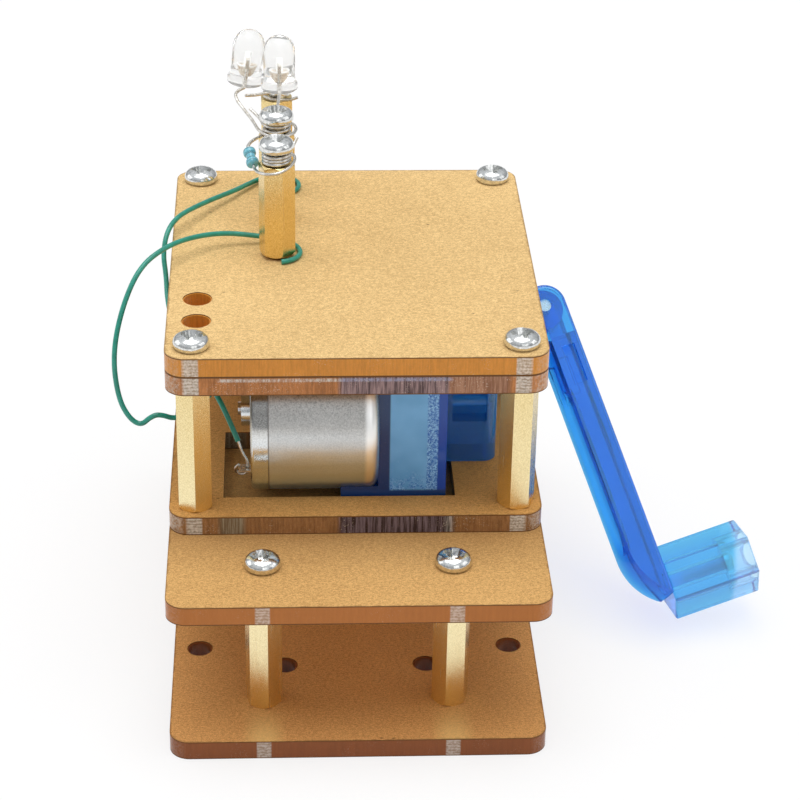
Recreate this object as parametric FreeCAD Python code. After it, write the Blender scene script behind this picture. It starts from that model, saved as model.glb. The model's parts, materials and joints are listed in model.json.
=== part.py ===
import FreeCAD, Part
import math
import os

# Hand crank generator on a stack of film-covered acrylic plates.
# Millimetres. X runs to the right, Y to the back, Z up.
# The origin is the centre of the base plate's underside.

Vector = FreeCAD.Vector
RIGHT = Vector(1, 0, 0)
BACK = Vector(0, 1, 0)
UP = Vector(0, 0, 1)

# Plates: acrylic sheet with paper film on both faces.
plate_width = 55.6
plate_depth = 85.0
plate_back = 42.5
frame_depth = 65.6
sheet = 3.0
film = 0.15
plate_corner = 3.0
hole_inset = 3.9

# Opening in the two frame plates for the motor and the gear case.
cutout_left = -19.8
cutout_right = 15.0
motor_cutout_front = -17.4
motor_cutout_back = 2.1
gear_cutout_left = -2.6
cutout_clearance = 0.4

# Open holes of the base plate, by X and the way back from its front edge, and of the top plate.
base_hole_radius = 1.75
base_outer_hole = (23.85, 24.0)
base_inner_hole = (10.75, 19.3)
top_hole_radius = 2.0
top_hole_x = -23.4
top_hole_ys = (-4.1, -11.2)
film_hole_margin = 0.2

# M3 screws, hexagonal spacers and terminal posts.
screw_radius = 1.5
screw_hole_radius = 1.7
tapped_clearance = 0.05
screw_head_radius = 2.7
screw_head_height = 2.1
screw_head_crown = 1.1
cross_length = 3.2
cross_width = 0.7
cross_depth = 1.2
flat_head_radius = 2.9
flat_head_depth = 1.6
flat_head_sink = 0.1
thread_hold = 6.0
hexagon_flats = 4.9
hexagon_chamfer = 0.35
spacer_length = 20.6
lower_spacer_x = 13.9
lower_spacer_shift = 0.9
spacer_turns = {
    "lower_front_left": 13.5, "lower_front_right": 44.2, "lower_rear_left": 30.0, "lower_rear_right": 10.0,
    "upper_front_left": 2.4, "upper_front_right": 38.6, "upper_rear_left": 20.0, "upper_rear_right": 50.0,
}

post_x = -11.45
post_front_y = 10.8
post_pitch = 12.4
post_length = 15.0
post_turns = {"front": 18.0, "middle": 22.0, "rear": 2.0}
post_raises = {"front": 0.5, "middle": 0.0, "rear": 1.0}
lead_stack = 2.1

# Motor, lying along X.
motor_y = -8.5
motor_z = 39.9
motor_radius = 12.2
can_wall = 1.0
can_end_wall = 1.2
can_end_round = 1.5
motor_left = -15.6
cap_depth = 2.6
cap_wall = 1.2
cap_round = 0.5
motor_boss_radius = 2.6
motor_boss_length = 1.45
bushing_radius = 1.9
bushing_length = 2.3
motor_shaft_radius = 1.0
shaft_tail = 0.5
magnet_thickness = 2.2
magnet_span = 130.0
magnet_end_gap = 1.6
rotor_air_gap = 0.4
rotor_length = 8.0
rotor_poles = 3
rotor_hub_radius = 2.6
rotor_arm_width = 3.6
rotor_rim = 1.3
rotor_slot = 1.6
winding_width = 6.6
winding_overhang = 1.2
commutator_radius = 2.4
commutator_length = 2.2
commutator_gap = 0.4
terminal_length = 1.9
terminal_width = 2.0
terminal_thickness = 0.3
terminal_hole_radius = 0.45
terminal_hole_reach = 0.5
terminal_y_offset = 6.0
terminal_z_offset = 6.95

# Gear case: a shell and a cover with the crank housing.
case_left = 3.4
case_right = 13.55
case_wall = 1.7
lid_wall = 1.15
case_side_wall = 1.5
case_edge_round = 0.8
lip_length = 5.6
case_back_reach = 13.9
housing_right = 21.9
housing_front = -7.5
housing_wall = 1.6
housing_round = 2.0
housing_plate_gap = 0.1
ledge_height = 7.0
ledge_depth = 2.5
housing_front_block = 4.2
guide_rod_radius = 0.7
guide_rod_z = 39.6

# Gear train: straight-toothed gears on axles along X.
gear_module = 0.5
pressure_angle = 20.0
addendum = 0.4
dedendum = 0.65
tooth_share = 0.72
mesh_clearance = 0.08
pinion_teeth = 10
first_wheel_teeth = 32
second_wheel_teeth = 28
crank_gear_teeth = 36
idler_rise = 2.6
gear_face = 2.0
gear_spacing = 2.3
first_gear_gap = 0.3
axle_radius = 0.6
axle_seat = 0.9
running_clearance = 0.06

# Crank: shaft with a hub, folding arm and turning knob.
crank_shaft_radius = 2.0
hub_radius = 6.75
hub_gap = 0.3
hub_cheek_gap = 0.35
tongue_width = 5.5
tongue_radius = 3.2
fold_pin_x = 31.0
fold_pin_radius = 1.0
fold_pin_recess = 0.3
crank_angle = 40.8
arm_tilt = 18.5
arm_width = 15.0
arm_thickness = 4.5
arm_head_radius = 3.45
arm_length = 49.5
arm_elbow_radius = 10.0
arm_edge_round = 0.7
fork_gap = 0.2
fork_depth = 4.8
arm_slot_start = 13.0
arm_slot_tail = 8.5
arm_slot_width = 8.4
arm_slot_depth = 0.9
arm_pocket_start = 7.2
arm_pocket_end = 13.6
arm_pocket_height = 2.1
arm_pocket_depth = 1.0
knob_inset = 2.1
knob_flats = 10.3
knob_length = 14.2
knob_turn = 6.5
knob_gap = 0.15
knob_round = 0.4
knob_recess_radius = 2.75
knob_recess_depth = 4.4
spindle_radius = 1.5
knob_screw_radius = 0.8
knob_screw_length = 7.0
knob_screw_head_radius = 2.1
knob_screw_head_height = 1.4

# Light-emitting diodes: clear lens over two leads.
led_radius = 2.5
led_flange_radius = 2.9
led_flange_height = 1.0
led_length = 8.7
led_lead_pitch = 2.54
led_bottom_z = 76.1
led_right_place = (-10.95, 29.7)
led_left_place = (-16.35, 32.4)
led_left_tilt = 6.7
led_plate_top = 4.4
led_plate_height = 1.5
led_plate_gap = 0.35
led_plate_width = 1.9
led_plate_thickness = 0.5

# Resistor lying from the front post's head up to the middle one.
resistor_centre = (-15.34, 13.0, 71.58)
resistor_direction = (0.210, -0.913, -0.352)
resistor_length = 3.3
resistor_waist_radius = 0.72
resistor_end_radius = 0.98
resistor_end_length = 1.15
resistor_round = 0.42

# Bare leads: radius of the wire and of its turns round a screw.
lead_radius = 0.25
turn_radius = 2.0
turn_rise = 0.52
turn_step = 45.0

# Insulated wires from the motor to the front and rear posts.
wire_radius = 0.4
strand_radius = 0.22
arc_share = 0.45
strand_ring_radius = 2.4

wire_front_route = (
    (-10.84, 7.35, 56.65), (-9.41, 7.60, 56.65), (-7.75, 9.98, 56.65), (-8.25, 12.84, 56.70),
    (-10.63, 14.50, 56.90), (-14.40, 14.90, 57.50), (-19.80, 14.40, 58.30), (-24.60, 11.40, 59.00),
    (-28.60, 6.80, 59.50), (-32.30, 2.50, 58.20), (-34.90, -1.30, 53.30), (-36.40, -3.60, 46.60),
    (-35.80, -4.90, 40.00), (-34.20, -5.60, 36.70), (-32.40, -6.00, 35.60), (-31.00, -6.00, 37.00),
    (-29.60, -5.80, 37.50), (-27.00, -5.00, 36.00), (-23.80, -3.90, 37.60), (-20.80, -3.20, 40.60),
    (-18.60, -2.80, 42.60),
)
wire_front_strand = (
    (-18.60, -2.80, 42.60), (-17.40, -2.60, 43.80), (-16.10, -2.50, 45.60), (-16.10, -2.50, 47.20),
    (-16.60, -2.45, 47.75), (-17.40, -2.40, 47.75), (-17.95, -2.30, 47.20), (-17.95, -2.10, 46.40),
    (-17.40, -1.90, 45.90),
)
wire_rear_route = (
    (-11.75, 32.11, 56.65), (-10.31, 31.99, 56.65), (-8.09, 33.85, 56.65), (-7.84, 36.74, 56.65),
    (-9.70, 38.96, 56.65), (-12.59, 39.21, 56.75), (-15.10, 36.90, 56.90), (-18.20, 32.10, 57.40),
    (-21.60, 27.80, 57.90), (-24.20, 23.90, 58.40), (-27.00, 19.40, 58.80), (-28.60, 15.60, 58.00),
    (-29.20, 13.20, 55.20), (-28.70, 11.00, 52.60), (-28.50, 8.00, 49.90), (-27.60, 4.20, 47.90),
    (-25.40, -1.80, 46.90), (-22.80, -7.40, 45.60), (-20.60, -11.20, 43.70), (-19.10, -13.00, 41.30),
    (-17.50, -14.20, 37.50),
)
wire_rear_strand = (
    (-17.50, -14.20, 37.50), (-17.00, -14.35, 35.60), (-16.10, -14.50, 34.20), (-16.10, -14.50, 32.60),
    (-16.60, -14.55, 32.05), (-17.40, -14.60, 32.05), (-17.95, -14.70, 32.60), (-17.95, -14.90, 33.40),
    (-17.40, -15.10, 33.90),
)

# Heights of the stack, from the table up.
base_top = sheet
shelf_bottom = base_top + spacer_length
shelf_top = shelf_bottom + sheet
lower_frame_top = shelf_top + sheet
upper_frame_bottom = lower_frame_top + spacer_length
upper_frame_top = upper_frame_bottom + sheet
stack_top = upper_frame_top + sheet

plate_half_width = plate_width / 2
plate_front = plate_back - plate_depth
frame_front = plate_back - frame_depth
lower_spacer_y = (plate_front + frame_front) / 2 + lower_spacer_shift
corner_x = plate_half_width - hole_inset
corner_front_y = frame_front + hole_inset
corner_back_y = plate_back - hole_inset

post_ys = {
    "front": post_front_y,
    "middle": post_front_y + post_pitch,
    "rear": post_front_y + 2 * post_pitch,
}
post_bottoms = {name: stack_top + post_raises[name] for name in post_raises}
post_tops = {name: post_bottoms[name] + post_length for name in post_bottoms}

# Places that follow from the motor and the gears.
motor_right = case_left
can_left = motor_left + cap_depth
magnet_radius = motor_radius - can_wall
rotor_radius = magnet_radius - magnet_thickness - rotor_air_gap
rotor_centre_x = (can_left + motor_right - can_end_wall) / 2
rotor_left = rotor_centre_x - rotor_length / 2
rotor_right = rotor_centre_x + rotor_length / 2
case_inside_left = case_left + case_wall
lid_left = case_right - lid_wall
gear_planes = [case_inside_left + first_gear_gap + n * gear_spacing for n in range(3)]


def centre_distance(first_teeth, second_teeth):
    """Distance between the axes of two meshing gears."""
    return gear_module * (first_teeth + second_teeth) / 2 + mesh_clearance


def step_back(y, z, teeth, other_teeth, next_z):
    """Y of the next gear axis at height next_z, one mesh further back."""
    return y + math.sqrt(centre_distance(teeth, other_teeth) ** 2 - (next_z - z) ** 2)


idler_1_z = motor_z - idler_rise
idler_2_z = motor_z + idler_rise
idler_1_y = step_back(motor_y, motor_z, pinion_teeth, first_wheel_teeth, idler_1_z)
idler_2_y = step_back(idler_1_y, idler_1_z, pinion_teeth, second_wheel_teeth, idler_2_z)
crank_y = step_back(idler_2_y, idler_2_z, pinion_teeth, crank_gear_teeth, motor_z)
crank_z = motor_z

case_front = motor_cutout_front + cutout_clearance
case_back = crank_y + case_back_reach
gear_cutout_back = case_back + cutout_clearance
case_bottom = shelf_top
case_top = upper_frame_top
housing_bottom = lower_frame_top + housing_plate_gap
housing_top = upper_frame_bottom - housing_plate_gap
hub_right = fold_pin_x - arm_head_radius - hub_cheek_gap
arm_slot_end = arm_length - arm_slot_tail
knob_distance = arm_length - knob_inset


# ---------------------------------------------------------------- simple solids

def box(x_range, y_range, z_range):
    """Box between two values along each axis."""
    corner = Vector(x_range[0], y_range[0], z_range[0])
    return Part.makeBox(x_range[1] - x_range[0], y_range[1] - y_range[0], z_range[1] - z_range[0], corner)


def rod(start, end, radius):
    """Round rod between two points."""
    axis = end - start
    return Part.makeCylinder(radius, axis.Length, start, axis)


def rod_up(x, y, bottom, top, radius):
    """Upright rod."""
    return rod(Vector(x, y, bottom), Vector(x, y, top), radius)


def rod_along_x(y, z, left, right, radius):
    """Rod along X."""
    return rod(Vector(left, y, z), Vector(right, y, z), radius)


def tube_along_x(y, z, left, right, radius, bore):
    """Tube along X."""
    return rod_along_x(y, z, left, right, radius).cut(rod_along_x(y, z, left, right, bore))


def prism(points, direction):
    """Solid swept from a closed polygon."""
    return Part.Face(Part.makePolygon(points + points[:1])).extrude(direction)


def hexagon(x, y, bottom, top, flats, turn):
    """Upright hexagonal bar; turn is the direction of one flat in degrees."""
    radius = flats / math.sqrt(3)
    angles = [math.radians(turn + 30 + 60 * n) for n in range(6)]
    points = [Vector(x + radius * math.cos(a), y + radius * math.sin(a), bottom) for a in angles]
    return prism(points, UP * (top - bottom))


def edges_where(shape, accept):
    """Edges whose middle point passes the test."""
    return [edge for edge in shape.Edges if accept(edge.valueAt((edge.FirstParameter + edge.LastParameter) / 2))]


def near(first, second):
    """Whether two sizes are the same."""
    return abs(first - second) < 0.001


def rounded_plate(y_front, bottom, top):
    """Plate with four round corners, from y_front to the back edge."""
    plate = box((-plate_half_width, plate_half_width), (y_front, plate_back), (bottom, top))
    middle = (bottom + top) / 2
    return plate.makeFillet(plate_corner, edges_where(plate, lambda point: near(point.z, middle)
                                                     and near(abs(point.x), plate_half_width)
                                                     and (near(point.y, y_front) or near(point.y, plate_back))))


# ---------------------------------------------------------------- round wire along a path

def rounded_path(points):
    """Straight runs joined by tangent arcs; returns the path and the arcs' radii."""
    edges = []
    radii = []
    start = points[0]
    for before, corner, after in zip(points, points[1:], points[2:]):
        back = before - corner
        ahead = after - corner
        shorter = min(back.Length, ahead.Length)
        back.normalize()
        ahead.normalize()
        half_turn = (math.pi - back.getAngle(ahead)) / 2
        reach = arc_share * shorter
        radius = reach / math.tan(half_turn)
        inward = back + ahead
        inward.normalize()
        first = corner + back * reach
        middle = corner + inward * (radius / math.cos(half_turn) - radius)
        last = corner + ahead * reach
        edges.append(Part.LineSegment(start, first).toShape())
        edges.append(Part.Arc(first, middle, last).toShape())
        radii.append(radius)
        start = last
    edges.append(Part.LineSegment(start, points[-1]).toShape())
    return Part.Wire(edges), radii


def swept_wire(points, radius):
    """Round wire along the points; returns the solid and the radii of its bends."""
    path, radii = rounded_path(points)
    section = Part.Wire(Part.makeCircle(radius, points[0], points[1] - points[0]))
    return path.makePipeShell([section], True, False), radii


def vectors(places):
    """Points from plain coordinates."""
    return [Vector(*place) for place in places]


# ---------------------------------------------------------------- plates

def plate_layers(y_front, bottom, holes, cutouts=(), countersinks=()):
    """Acrylic core and the two films of one plate."""
    heights = (bottom, bottom + film, bottom + sheet - film, bottom + sheet)
    layers = [rounded_plate(y_front, low, high) for low, high in zip(heights, heights[1:])]
    core_holes = [rod_up(x, y, bottom, bottom + sheet, radius) for x, y, radius in holes]
    film_holes = [rod_up(x, y, bottom, bottom + sheet, radius + film_hole_margin) for x, y, radius in holes]
    tools = [box(x_range, y_range, (bottom, bottom + sheet)) for x_range, y_range in cutouts]
    for x, y in countersinks:
        start = Vector(x, y, bottom)
        tools.append(Part.makeCylinder(flat_head_radius, flat_head_sink, start))
        tools.append(Part.makeCone(flat_head_radius, screw_hole_radius, flat_head_depth,
                                   start + UP * flat_head_sink))
    lower, core, upper = layers
    return core.cut(tools + core_holes), [layer.cut(tools + film_holes) for layer in (lower, upper)]


def at_corners(x, front_y, back_y):
    """The four places that carry spacers."""
    return [(-x, front_y), (x, front_y), (-x, back_y), (x, back_y)]


upper_places = at_corners(corner_x, corner_front_y, corner_back_y)
lower_places = [(-lower_spacer_x, lower_spacer_y), (lower_spacer_x, lower_spacer_y)] + upper_places[2:]
upper_holes = [(x, y, screw_hole_radius) for x, y in upper_places]
lower_holes = [(x, y, screw_hole_radius) for x, y in lower_places]
post_holes = [(post_x, post_ys[name], screw_hole_radius) for name in post_ys]
frame_cutouts = [
    ((cutout_left, cutout_right), (motor_cutout_front, motor_cutout_back)),
    ((gear_cutout_left, cutout_right), (motor_cutout_back, gear_cutout_back)),
]


def plates():
    """Every plate with its films."""
    base_holes = [(side * x, plate_front + way_back, base_hole_radius)
                  for side in (-1, 1) for x, way_back in (base_outer_hole, base_inner_hole)]
    top_holes = [(top_hole_x, y, top_hole_radius) for y in top_hole_ys]
    layouts = {
        "base": (plate_front, 0.0, lower_holes + base_holes, (), lower_places),
        "shelf": (plate_front, shelf_bottom, lower_holes + upper_holes[:2]),
        "lower_frame": (frame_front, shelf_top, upper_holes, frame_cutouts),
        "upper_frame": (frame_front, upper_frame_bottom, upper_holes + post_holes, frame_cutouts),
        "top": (frame_front, upper_frame_top, upper_holes + post_holes + top_holes),
    }
    for name, layout in layouts.items():
        core, films = plate_layers(*layout)
        save(name + "_plate", [core])
        save(name + "_film", films)


# ---------------------------------------------------------------- spacers, posts and screws

def hexagon_bar(x, y, bottom, top, turn):
    """Hexagonal bar with rounded-off corners at both ends and a tapped hole."""
    corner_radius = hexagon_flats / math.sqrt(3)
    flat_radius = hexagon_flats / 2
    fall = corner_radius - flat_radius
    profile = [
        Vector(x, y, bottom), Vector(x + flat_radius, y, bottom),
        Vector(x + flat_radius + fall, y, bottom + hexagon_chamfer),
        Vector(x + flat_radius + fall, y, top - hexagon_chamfer),
        Vector(x + flat_radius, y, top), Vector(x, y, top), Vector(x, y, bottom),
    ]
    turned = Part.Face(Part.makePolygon(profile)).revolve(Vector(x, y, 0), UP, 360)
    bar = hexagon(x, y, bottom, top, hexagon_flats, turn).common(turned)
    return bar.cut(rod_up(x, y, bottom, top, screw_radius + tapped_clearance))


def cross_recess(top, length, width, depth):
    """Cross-shaped recess at the top of a screw head that stands on the origin."""
    arms = [
        box((-length / 2, length / 2), (-width / 2, width / 2), (top - depth, top)),
        box((-width / 2, width / 2), (-length / 2, length / 2), (top - depth, top)),
    ]
    centre = Part.makeCone(width / 2, width, depth, Vector(0, 0, top - depth))
    return arms + [centre]


def pan_screw(place, downwards, length, turn=0.0):
    """Pan head screw whose head sits at the place; downwards is the way the shank points."""
    head = Part.makeCylinder(screw_head_radius, screw_head_height)
    head = head.makeFillet(screw_head_crown, edges_where(head, lambda point: near(point.z, screw_head_height)))
    head = head.cut(cross_recess(screw_head_height, cross_length, cross_width, cross_depth))
    screw = head.fuse(rod_up(0, 0, -length, 0, screw_radius))
    screw.rotate(Vector(0, 0, 0), UP, turn)
    if not downwards:
        screw.rotate(Vector(0, 0, 0), RIGHT, 180)
    screw.translate(place)
    return screw


def flat_screw(x, y):
    """Countersunk screw under the base plate."""
    rim = screw_hole_radius - screw_radius
    head_radius = flat_head_radius - rim
    head = Part.makeCone(head_radius, screw_radius, flat_head_depth, Vector(x, y, flat_head_sink))
    shank = rod_up(x, y, flat_head_sink, base_top + thread_hold, screw_radius)
    recess = cross_recess(0, cross_length, cross_width, cross_depth)
    screw = head.fuse(shank)
    for tool in recess:
        tool.translate(Vector(x, y, flat_head_sink + cross_depth))
    return screw.cut(recess)


def spacers_and_screws():
    """Spacers between the plates with the screws and studs that hold them."""
    sides = ("front_left", "front_right", "rear_left", "rear_right")
    for side, place in zip(sides, lower_places):
        name = "lower_" + side
        save(name + "_spacer", [hexagon_bar(*place, base_top, shelf_bottom, spacer_turns[name])])
    for side, place in zip(sides, upper_places):
        name = "upper_" + side
        save(name + "_spacer", [hexagon_bar(*place, lower_frame_top, upper_frame_bottom, spacer_turns[name])])
    through = 2 * sheet + thread_hold
    save("top_screws", [pan_screw(Vector(x, y, stack_top), True, through, 23.0 * x) for x, y in upper_places])
    save("shelf_screws", [pan_screw(Vector(x, y, shelf_top), True, sheet + thread_hold, 31.0 * x)
                          for x, y in lower_places[:2]])
    save("frame_screws", [pan_screw(Vector(x, y, shelf_bottom), False, through) for x, y in upper_places[:2]])
    save("base_screws", [flat_screw(x, y) for x, y in lower_places])
    save("rear_studs", [rod_up(x, y, shelf_bottom - thread_hold, lower_frame_top + thread_hold, screw_radius)
                        for x, y in upper_places[2:]])


def posts():
    """Terminal posts on the top plate with a screw from below and one on top."""
    lower = []
    for number, name in enumerate(post_ys):
        y = post_ys[name]
        bottom = post_bottoms[name]
        top = post_tops[name]
        save("terminal_post_" + name, [hexagon_bar(post_x, y, bottom, top, post_turns[name])])
        length = lead_stack + thread_hold
        save("post_screw_" + name, [pan_screw(Vector(post_x, y, top + lead_stack), True, length, 12.0 + 40 * number)])
        depth = bottom + thread_hold - upper_frame_bottom
        lower.append(pan_screw(Vector(post_x, y, upper_frame_bottom), False, depth))
    save("post_lower_screws", lower)


# ---------------------------------------------------------------- motor

def motor_housing():
    """Steel can, end cap, bushings, magnets and terminals."""
    can = rod_along_x(motor_y, motor_z, can_left, motor_right, motor_radius)
    can = can.makeFillet(can_end_round, [edge for edge in can.Edges if near(edge.BoundBox.XMin, motor_right)])
    can = can.cut(rod_along_x(motor_y, motor_z, can_left, motor_right - can_end_wall, magnet_radius))
    can = can.fuse(rod_along_x(motor_y, motor_z, motor_right - can_end_wall, motor_right + motor_boss_length,
                               motor_boss_radius))
    bore = motor_shaft_radius + running_clearance
    shaft_hole = rod_along_x(motor_y, motor_z, motor_left, motor_right, bore)
    front_bushing = (motor_right + motor_boss_length - bushing_length, motor_right + motor_boss_length)
    can = can.cut([rod_along_x(motor_y, motor_z, *front_bushing, bushing_radius), shaft_hole])
    save("motor_can", [can])

    cap = rod_along_x(motor_y, motor_z, motor_left, can_left, motor_radius)
    cap = cap.makeFillet(cap_round, [edge for edge in cap.Edges if near(edge.BoundBox.XMax, motor_left)])
    cap = cap.cut(rod_along_x(motor_y, motor_z, motor_left + cap_wall, can_left, magnet_radius))
    cap = cap.fuse(rod_along_x(motor_y, motor_z, motor_left - motor_boss_length, motor_left + cap_wall,
                               motor_boss_radius))
    rear_bushing = (motor_left - motor_boss_length, motor_left - motor_boss_length + bushing_length)
    cap = cap.cut([rod_along_x(motor_y, motor_z, *rear_bushing, bushing_radius), shaft_hole])
    save("motor_cap", [cap])

    save("motor_bushings", [tube_along_x(motor_y, motor_z, *ends, bushing_radius, bore)
                            for ends in (front_bushing, rear_bushing)])

    ring = tube_along_x(motor_y, motor_z, can_left + magnet_end_gap, motor_right - can_end_wall - magnet_end_gap,
                        magnet_radius, magnet_radius - magnet_thickness)
    magnets = []
    for direction in (90, -90):
        wedge = sector(direction, magnet_span, can_left, motor_right)
        magnets.append(ring.common(wedge))
    save("motor_magnets", magnets)

    terminals = []
    for sign in (-1, 1):
        y = motor_y + sign * terminal_y_offset
        z = motor_z + sign * terminal_z_offset
        tab = box((motor_left - terminal_length, motor_left), (y - terminal_width / 2, y + terminal_width / 2),
                  (z - terminal_thickness / 2, z + terminal_thickness / 2))
        hole_x = motor_left - terminal_hole_reach
        terminals.append(tab.cut(rod_up(hole_x, y, z - terminal_thickness, z + terminal_thickness,
                                        terminal_hole_radius)))
    save("motor_terminals", terminals)


def sector(direction, span, left, right):
    """Wedge round the motor axis that spans the given angle."""
    reach = 2 * motor_radius
    half = span / 2
    angles = [math.radians(direction + turn) for turn in (-half, -half / 3, half / 3, half)]
    points = [Vector(left, motor_y, motor_z)]
    points += [Vector(left, motor_y + reach * math.cos(a), motor_z + reach * math.sin(a)) for a in angles]
    return prism(points, RIGHT * (right - left))


def around_motor(shape, angle):
    """Copy of a shape turned about the motor axis."""
    turned = shape.copy()
    turned.rotate(Vector(0, motor_y, motor_z), RIGHT, angle)
    return turned


def rotor():
    """Rotor core with windings, commutator and shaft."""
    rim = tube_along_x(motor_y, motor_z, rotor_left, rotor_right, rotor_radius, rotor_radius - rotor_rim)
    core = rod_along_x(motor_y, motor_z, rotor_left, rotor_right, rotor_hub_radius).fuse(rim)
    arm = box((rotor_left, rotor_right), (motor_y - rotor_arm_width / 2, motor_y + rotor_arm_width / 2),
              (motor_z, motor_z + rotor_radius - rotor_rim / 2))
    slot = box((rotor_left, rotor_right), (motor_y - rotor_slot / 2, motor_y + rotor_slot / 2),
               (motor_z - rotor_radius, motor_z - rotor_radius + 2 * rotor_rim))
    pole_angles = [360 / rotor_poles * n for n in range(rotor_poles)]
    core = core.fuse([around_motor(arm, angle) for angle in pole_angles])
    core = core.cut([around_motor(slot, angle) for angle in pole_angles])
    shaft_bore = rod_along_x(motor_y, motor_z, rotor_left, rotor_right, motor_shaft_radius)
    core = core.cut(shaft_bore)
    save("rotor_core", [core])

    half_width = winding_width / 2
    coil = box((rotor_left - winding_overhang, rotor_right + winding_overhang),
               (motor_y - half_width, motor_y + half_width),
               (motor_z + rotor_hub_radius, motor_z + rotor_radius - rotor_rim))
    inside = rod_along_x(motor_y, motor_z, rotor_left - winding_overhang, rotor_right + winding_overhang,
                         rotor_radius - rotor_rim)
    arm_hole = box((rotor_left, rotor_right), (motor_y - rotor_arm_width / 2, motor_y + rotor_arm_width / 2),
                   (motor_z, motor_z + rotor_radius))
    hub = rod_along_x(motor_y, motor_z, rotor_left - winding_overhang, rotor_right + winding_overhang,
                      rotor_hub_radius)
    coil = coil.common(inside).cut([arm_hole, hub])
    save("rotor_windings", [around_motor(coil, angle) for angle in pole_angles])

    commutator_right = rotor_left - winding_overhang - commutator_gap
    save("commutator", [tube_along_x(motor_y, motor_z, commutator_right - commutator_length, commutator_right,
                                     commutator_radius, motor_shaft_radius)])

    shaft_left = motor_left - motor_boss_length - shaft_tail
    save("motor_shaft", [rod_along_x(motor_y, motor_z, shaft_left, gear_planes[0] + gear_face,
                                     motor_shaft_radius)])


# ---------------------------------------------------------------- gear train

def involute(angle):
    """Involute of an angle in radians."""
    return math.tan(angle) - angle


def gear(teeth, y, z, left, phase):
    """Gear of one face width; phase is the direction of one tooth in radians."""
    pitch_radius = gear_module * teeth / 2
    base_radius = pitch_radius * math.cos(math.radians(pressure_angle))
    root_radius = pitch_radius - dedendum
    tip_radius = pitch_radius + addendum
    half_tooth = tooth_share * math.pi / (2 * teeth) + involute(math.radians(pressure_angle))
    flank = [root_radius]
    lowest = max(base_radius, root_radius + addendum / 2)
    flank += [lowest + (tip_radius - lowest) * n / 3 for n in range(4)]
    points = []
    for tooth in range(teeth):
        centre = phase + 2 * math.pi * tooth / teeth
        for side, radii in ((-1, flank), (1, flank[::-1])):
            for radius in radii:
                slope = math.acos(min(1.0, base_radius / radius))
                angle = centre + side * (half_tooth - involute(slope))
                points.append(Vector(left, y + radius * math.cos(angle), z + radius * math.sin(angle)))
    return prism(points, RIGHT * gear_face)


def meshing_phase(teeth, phase, y, z, other_teeth, other_y, other_z):
    """Phase of the other gear so that its gap meets this gear's tooth."""
    direction = math.atan2(other_z - z, other_y - y)
    return direction + math.pi - (math.pi - (direction - phase) * teeth) / other_teeth


def compound_gear(name, wheel_teeth, wheel_phase, pinion_phase, y, z, left):
    """Wheel with a pinion on its right side, turning on its axle."""
    wheel = gear(wheel_teeth, y, z, left, wheel_phase)
    pinion = gear(pinion_teeth, y, z, left + gear_spacing, pinion_phase)
    neck = rod_along_x(y, z, left + gear_face, left + gear_spacing, gear_module * pinion_teeth / 2 - dedendum)
    bore = rod_along_x(y, z, left, left + gear_spacing + gear_face, axle_radius + running_clearance)
    save(name, [wheel.fuse([neck, pinion]).cut(bore)])


def gear_train():
    """Crank gear, two compound gears and the motor pinion, meshing at rest."""
    pinion_2 = meshing_phase(crank_gear_teeth, 0.0, crank_y, crank_z, pinion_teeth, idler_2_y, idler_2_z)
    pinion_1 = meshing_phase(second_wheel_teeth, 0.0, idler_2_y, idler_2_z, pinion_teeth, idler_1_y, idler_1_z)
    motor_phase = meshing_phase(first_wheel_teeth, 0.0, idler_1_y, idler_1_z, pinion_teeth, motor_y, motor_z)

    crank_wheel = gear(crank_gear_teeth, crank_y, crank_z, gear_planes[2], 0.0)
    crank_bore = rod_along_x(crank_y, crank_z, gear_planes[2], gear_planes[2] + gear_face, crank_shaft_radius)
    save("crank_gear", [crank_wheel.cut(crank_bore)])
    compound_gear("idler_gear_2", second_wheel_teeth, 0.0, pinion_2, idler_2_y, idler_2_z, gear_planes[1])
    compound_gear("idler_gear_1", first_wheel_teeth, 0.0, pinion_1, idler_1_y, idler_1_z, gear_planes[0])
    pinion = gear(pinion_teeth, motor_y, motor_z, gear_planes[0], motor_phase)
    pinion_bore = rod_along_x(motor_y, motor_z, gear_planes[0], gear_planes[0] + gear_face, motor_shaft_radius)
    save("motor_pinion", [pinion.cut(pinion_bore)])

    axle_ends = (case_inside_left - axle_seat, housing_right - housing_wall + axle_seat)
    save("gear_axles", [rod_along_x(y, z, *axle_ends, axle_radius)
                        for y, z in ((idler_1_y, idler_1_z), (idler_2_y, idler_2_z))])


# ---------------------------------------------------------------- gear case

def axle_holes():
    """Seats of the two gear axles and the bore of the crank shaft."""
    ends = (case_inside_left - axle_seat, housing_right - housing_wall + axle_seat)
    holes = [rod_along_x(y, z, *ends, axle_radius) for y, z in ((idler_1_y, idler_1_z), (idler_2_y, idler_2_z))]
    holes.append(rod_along_x(crank_y, crank_z, ends[0], housing_right, crank_shaft_radius + running_clearance))
    return holes


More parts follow.
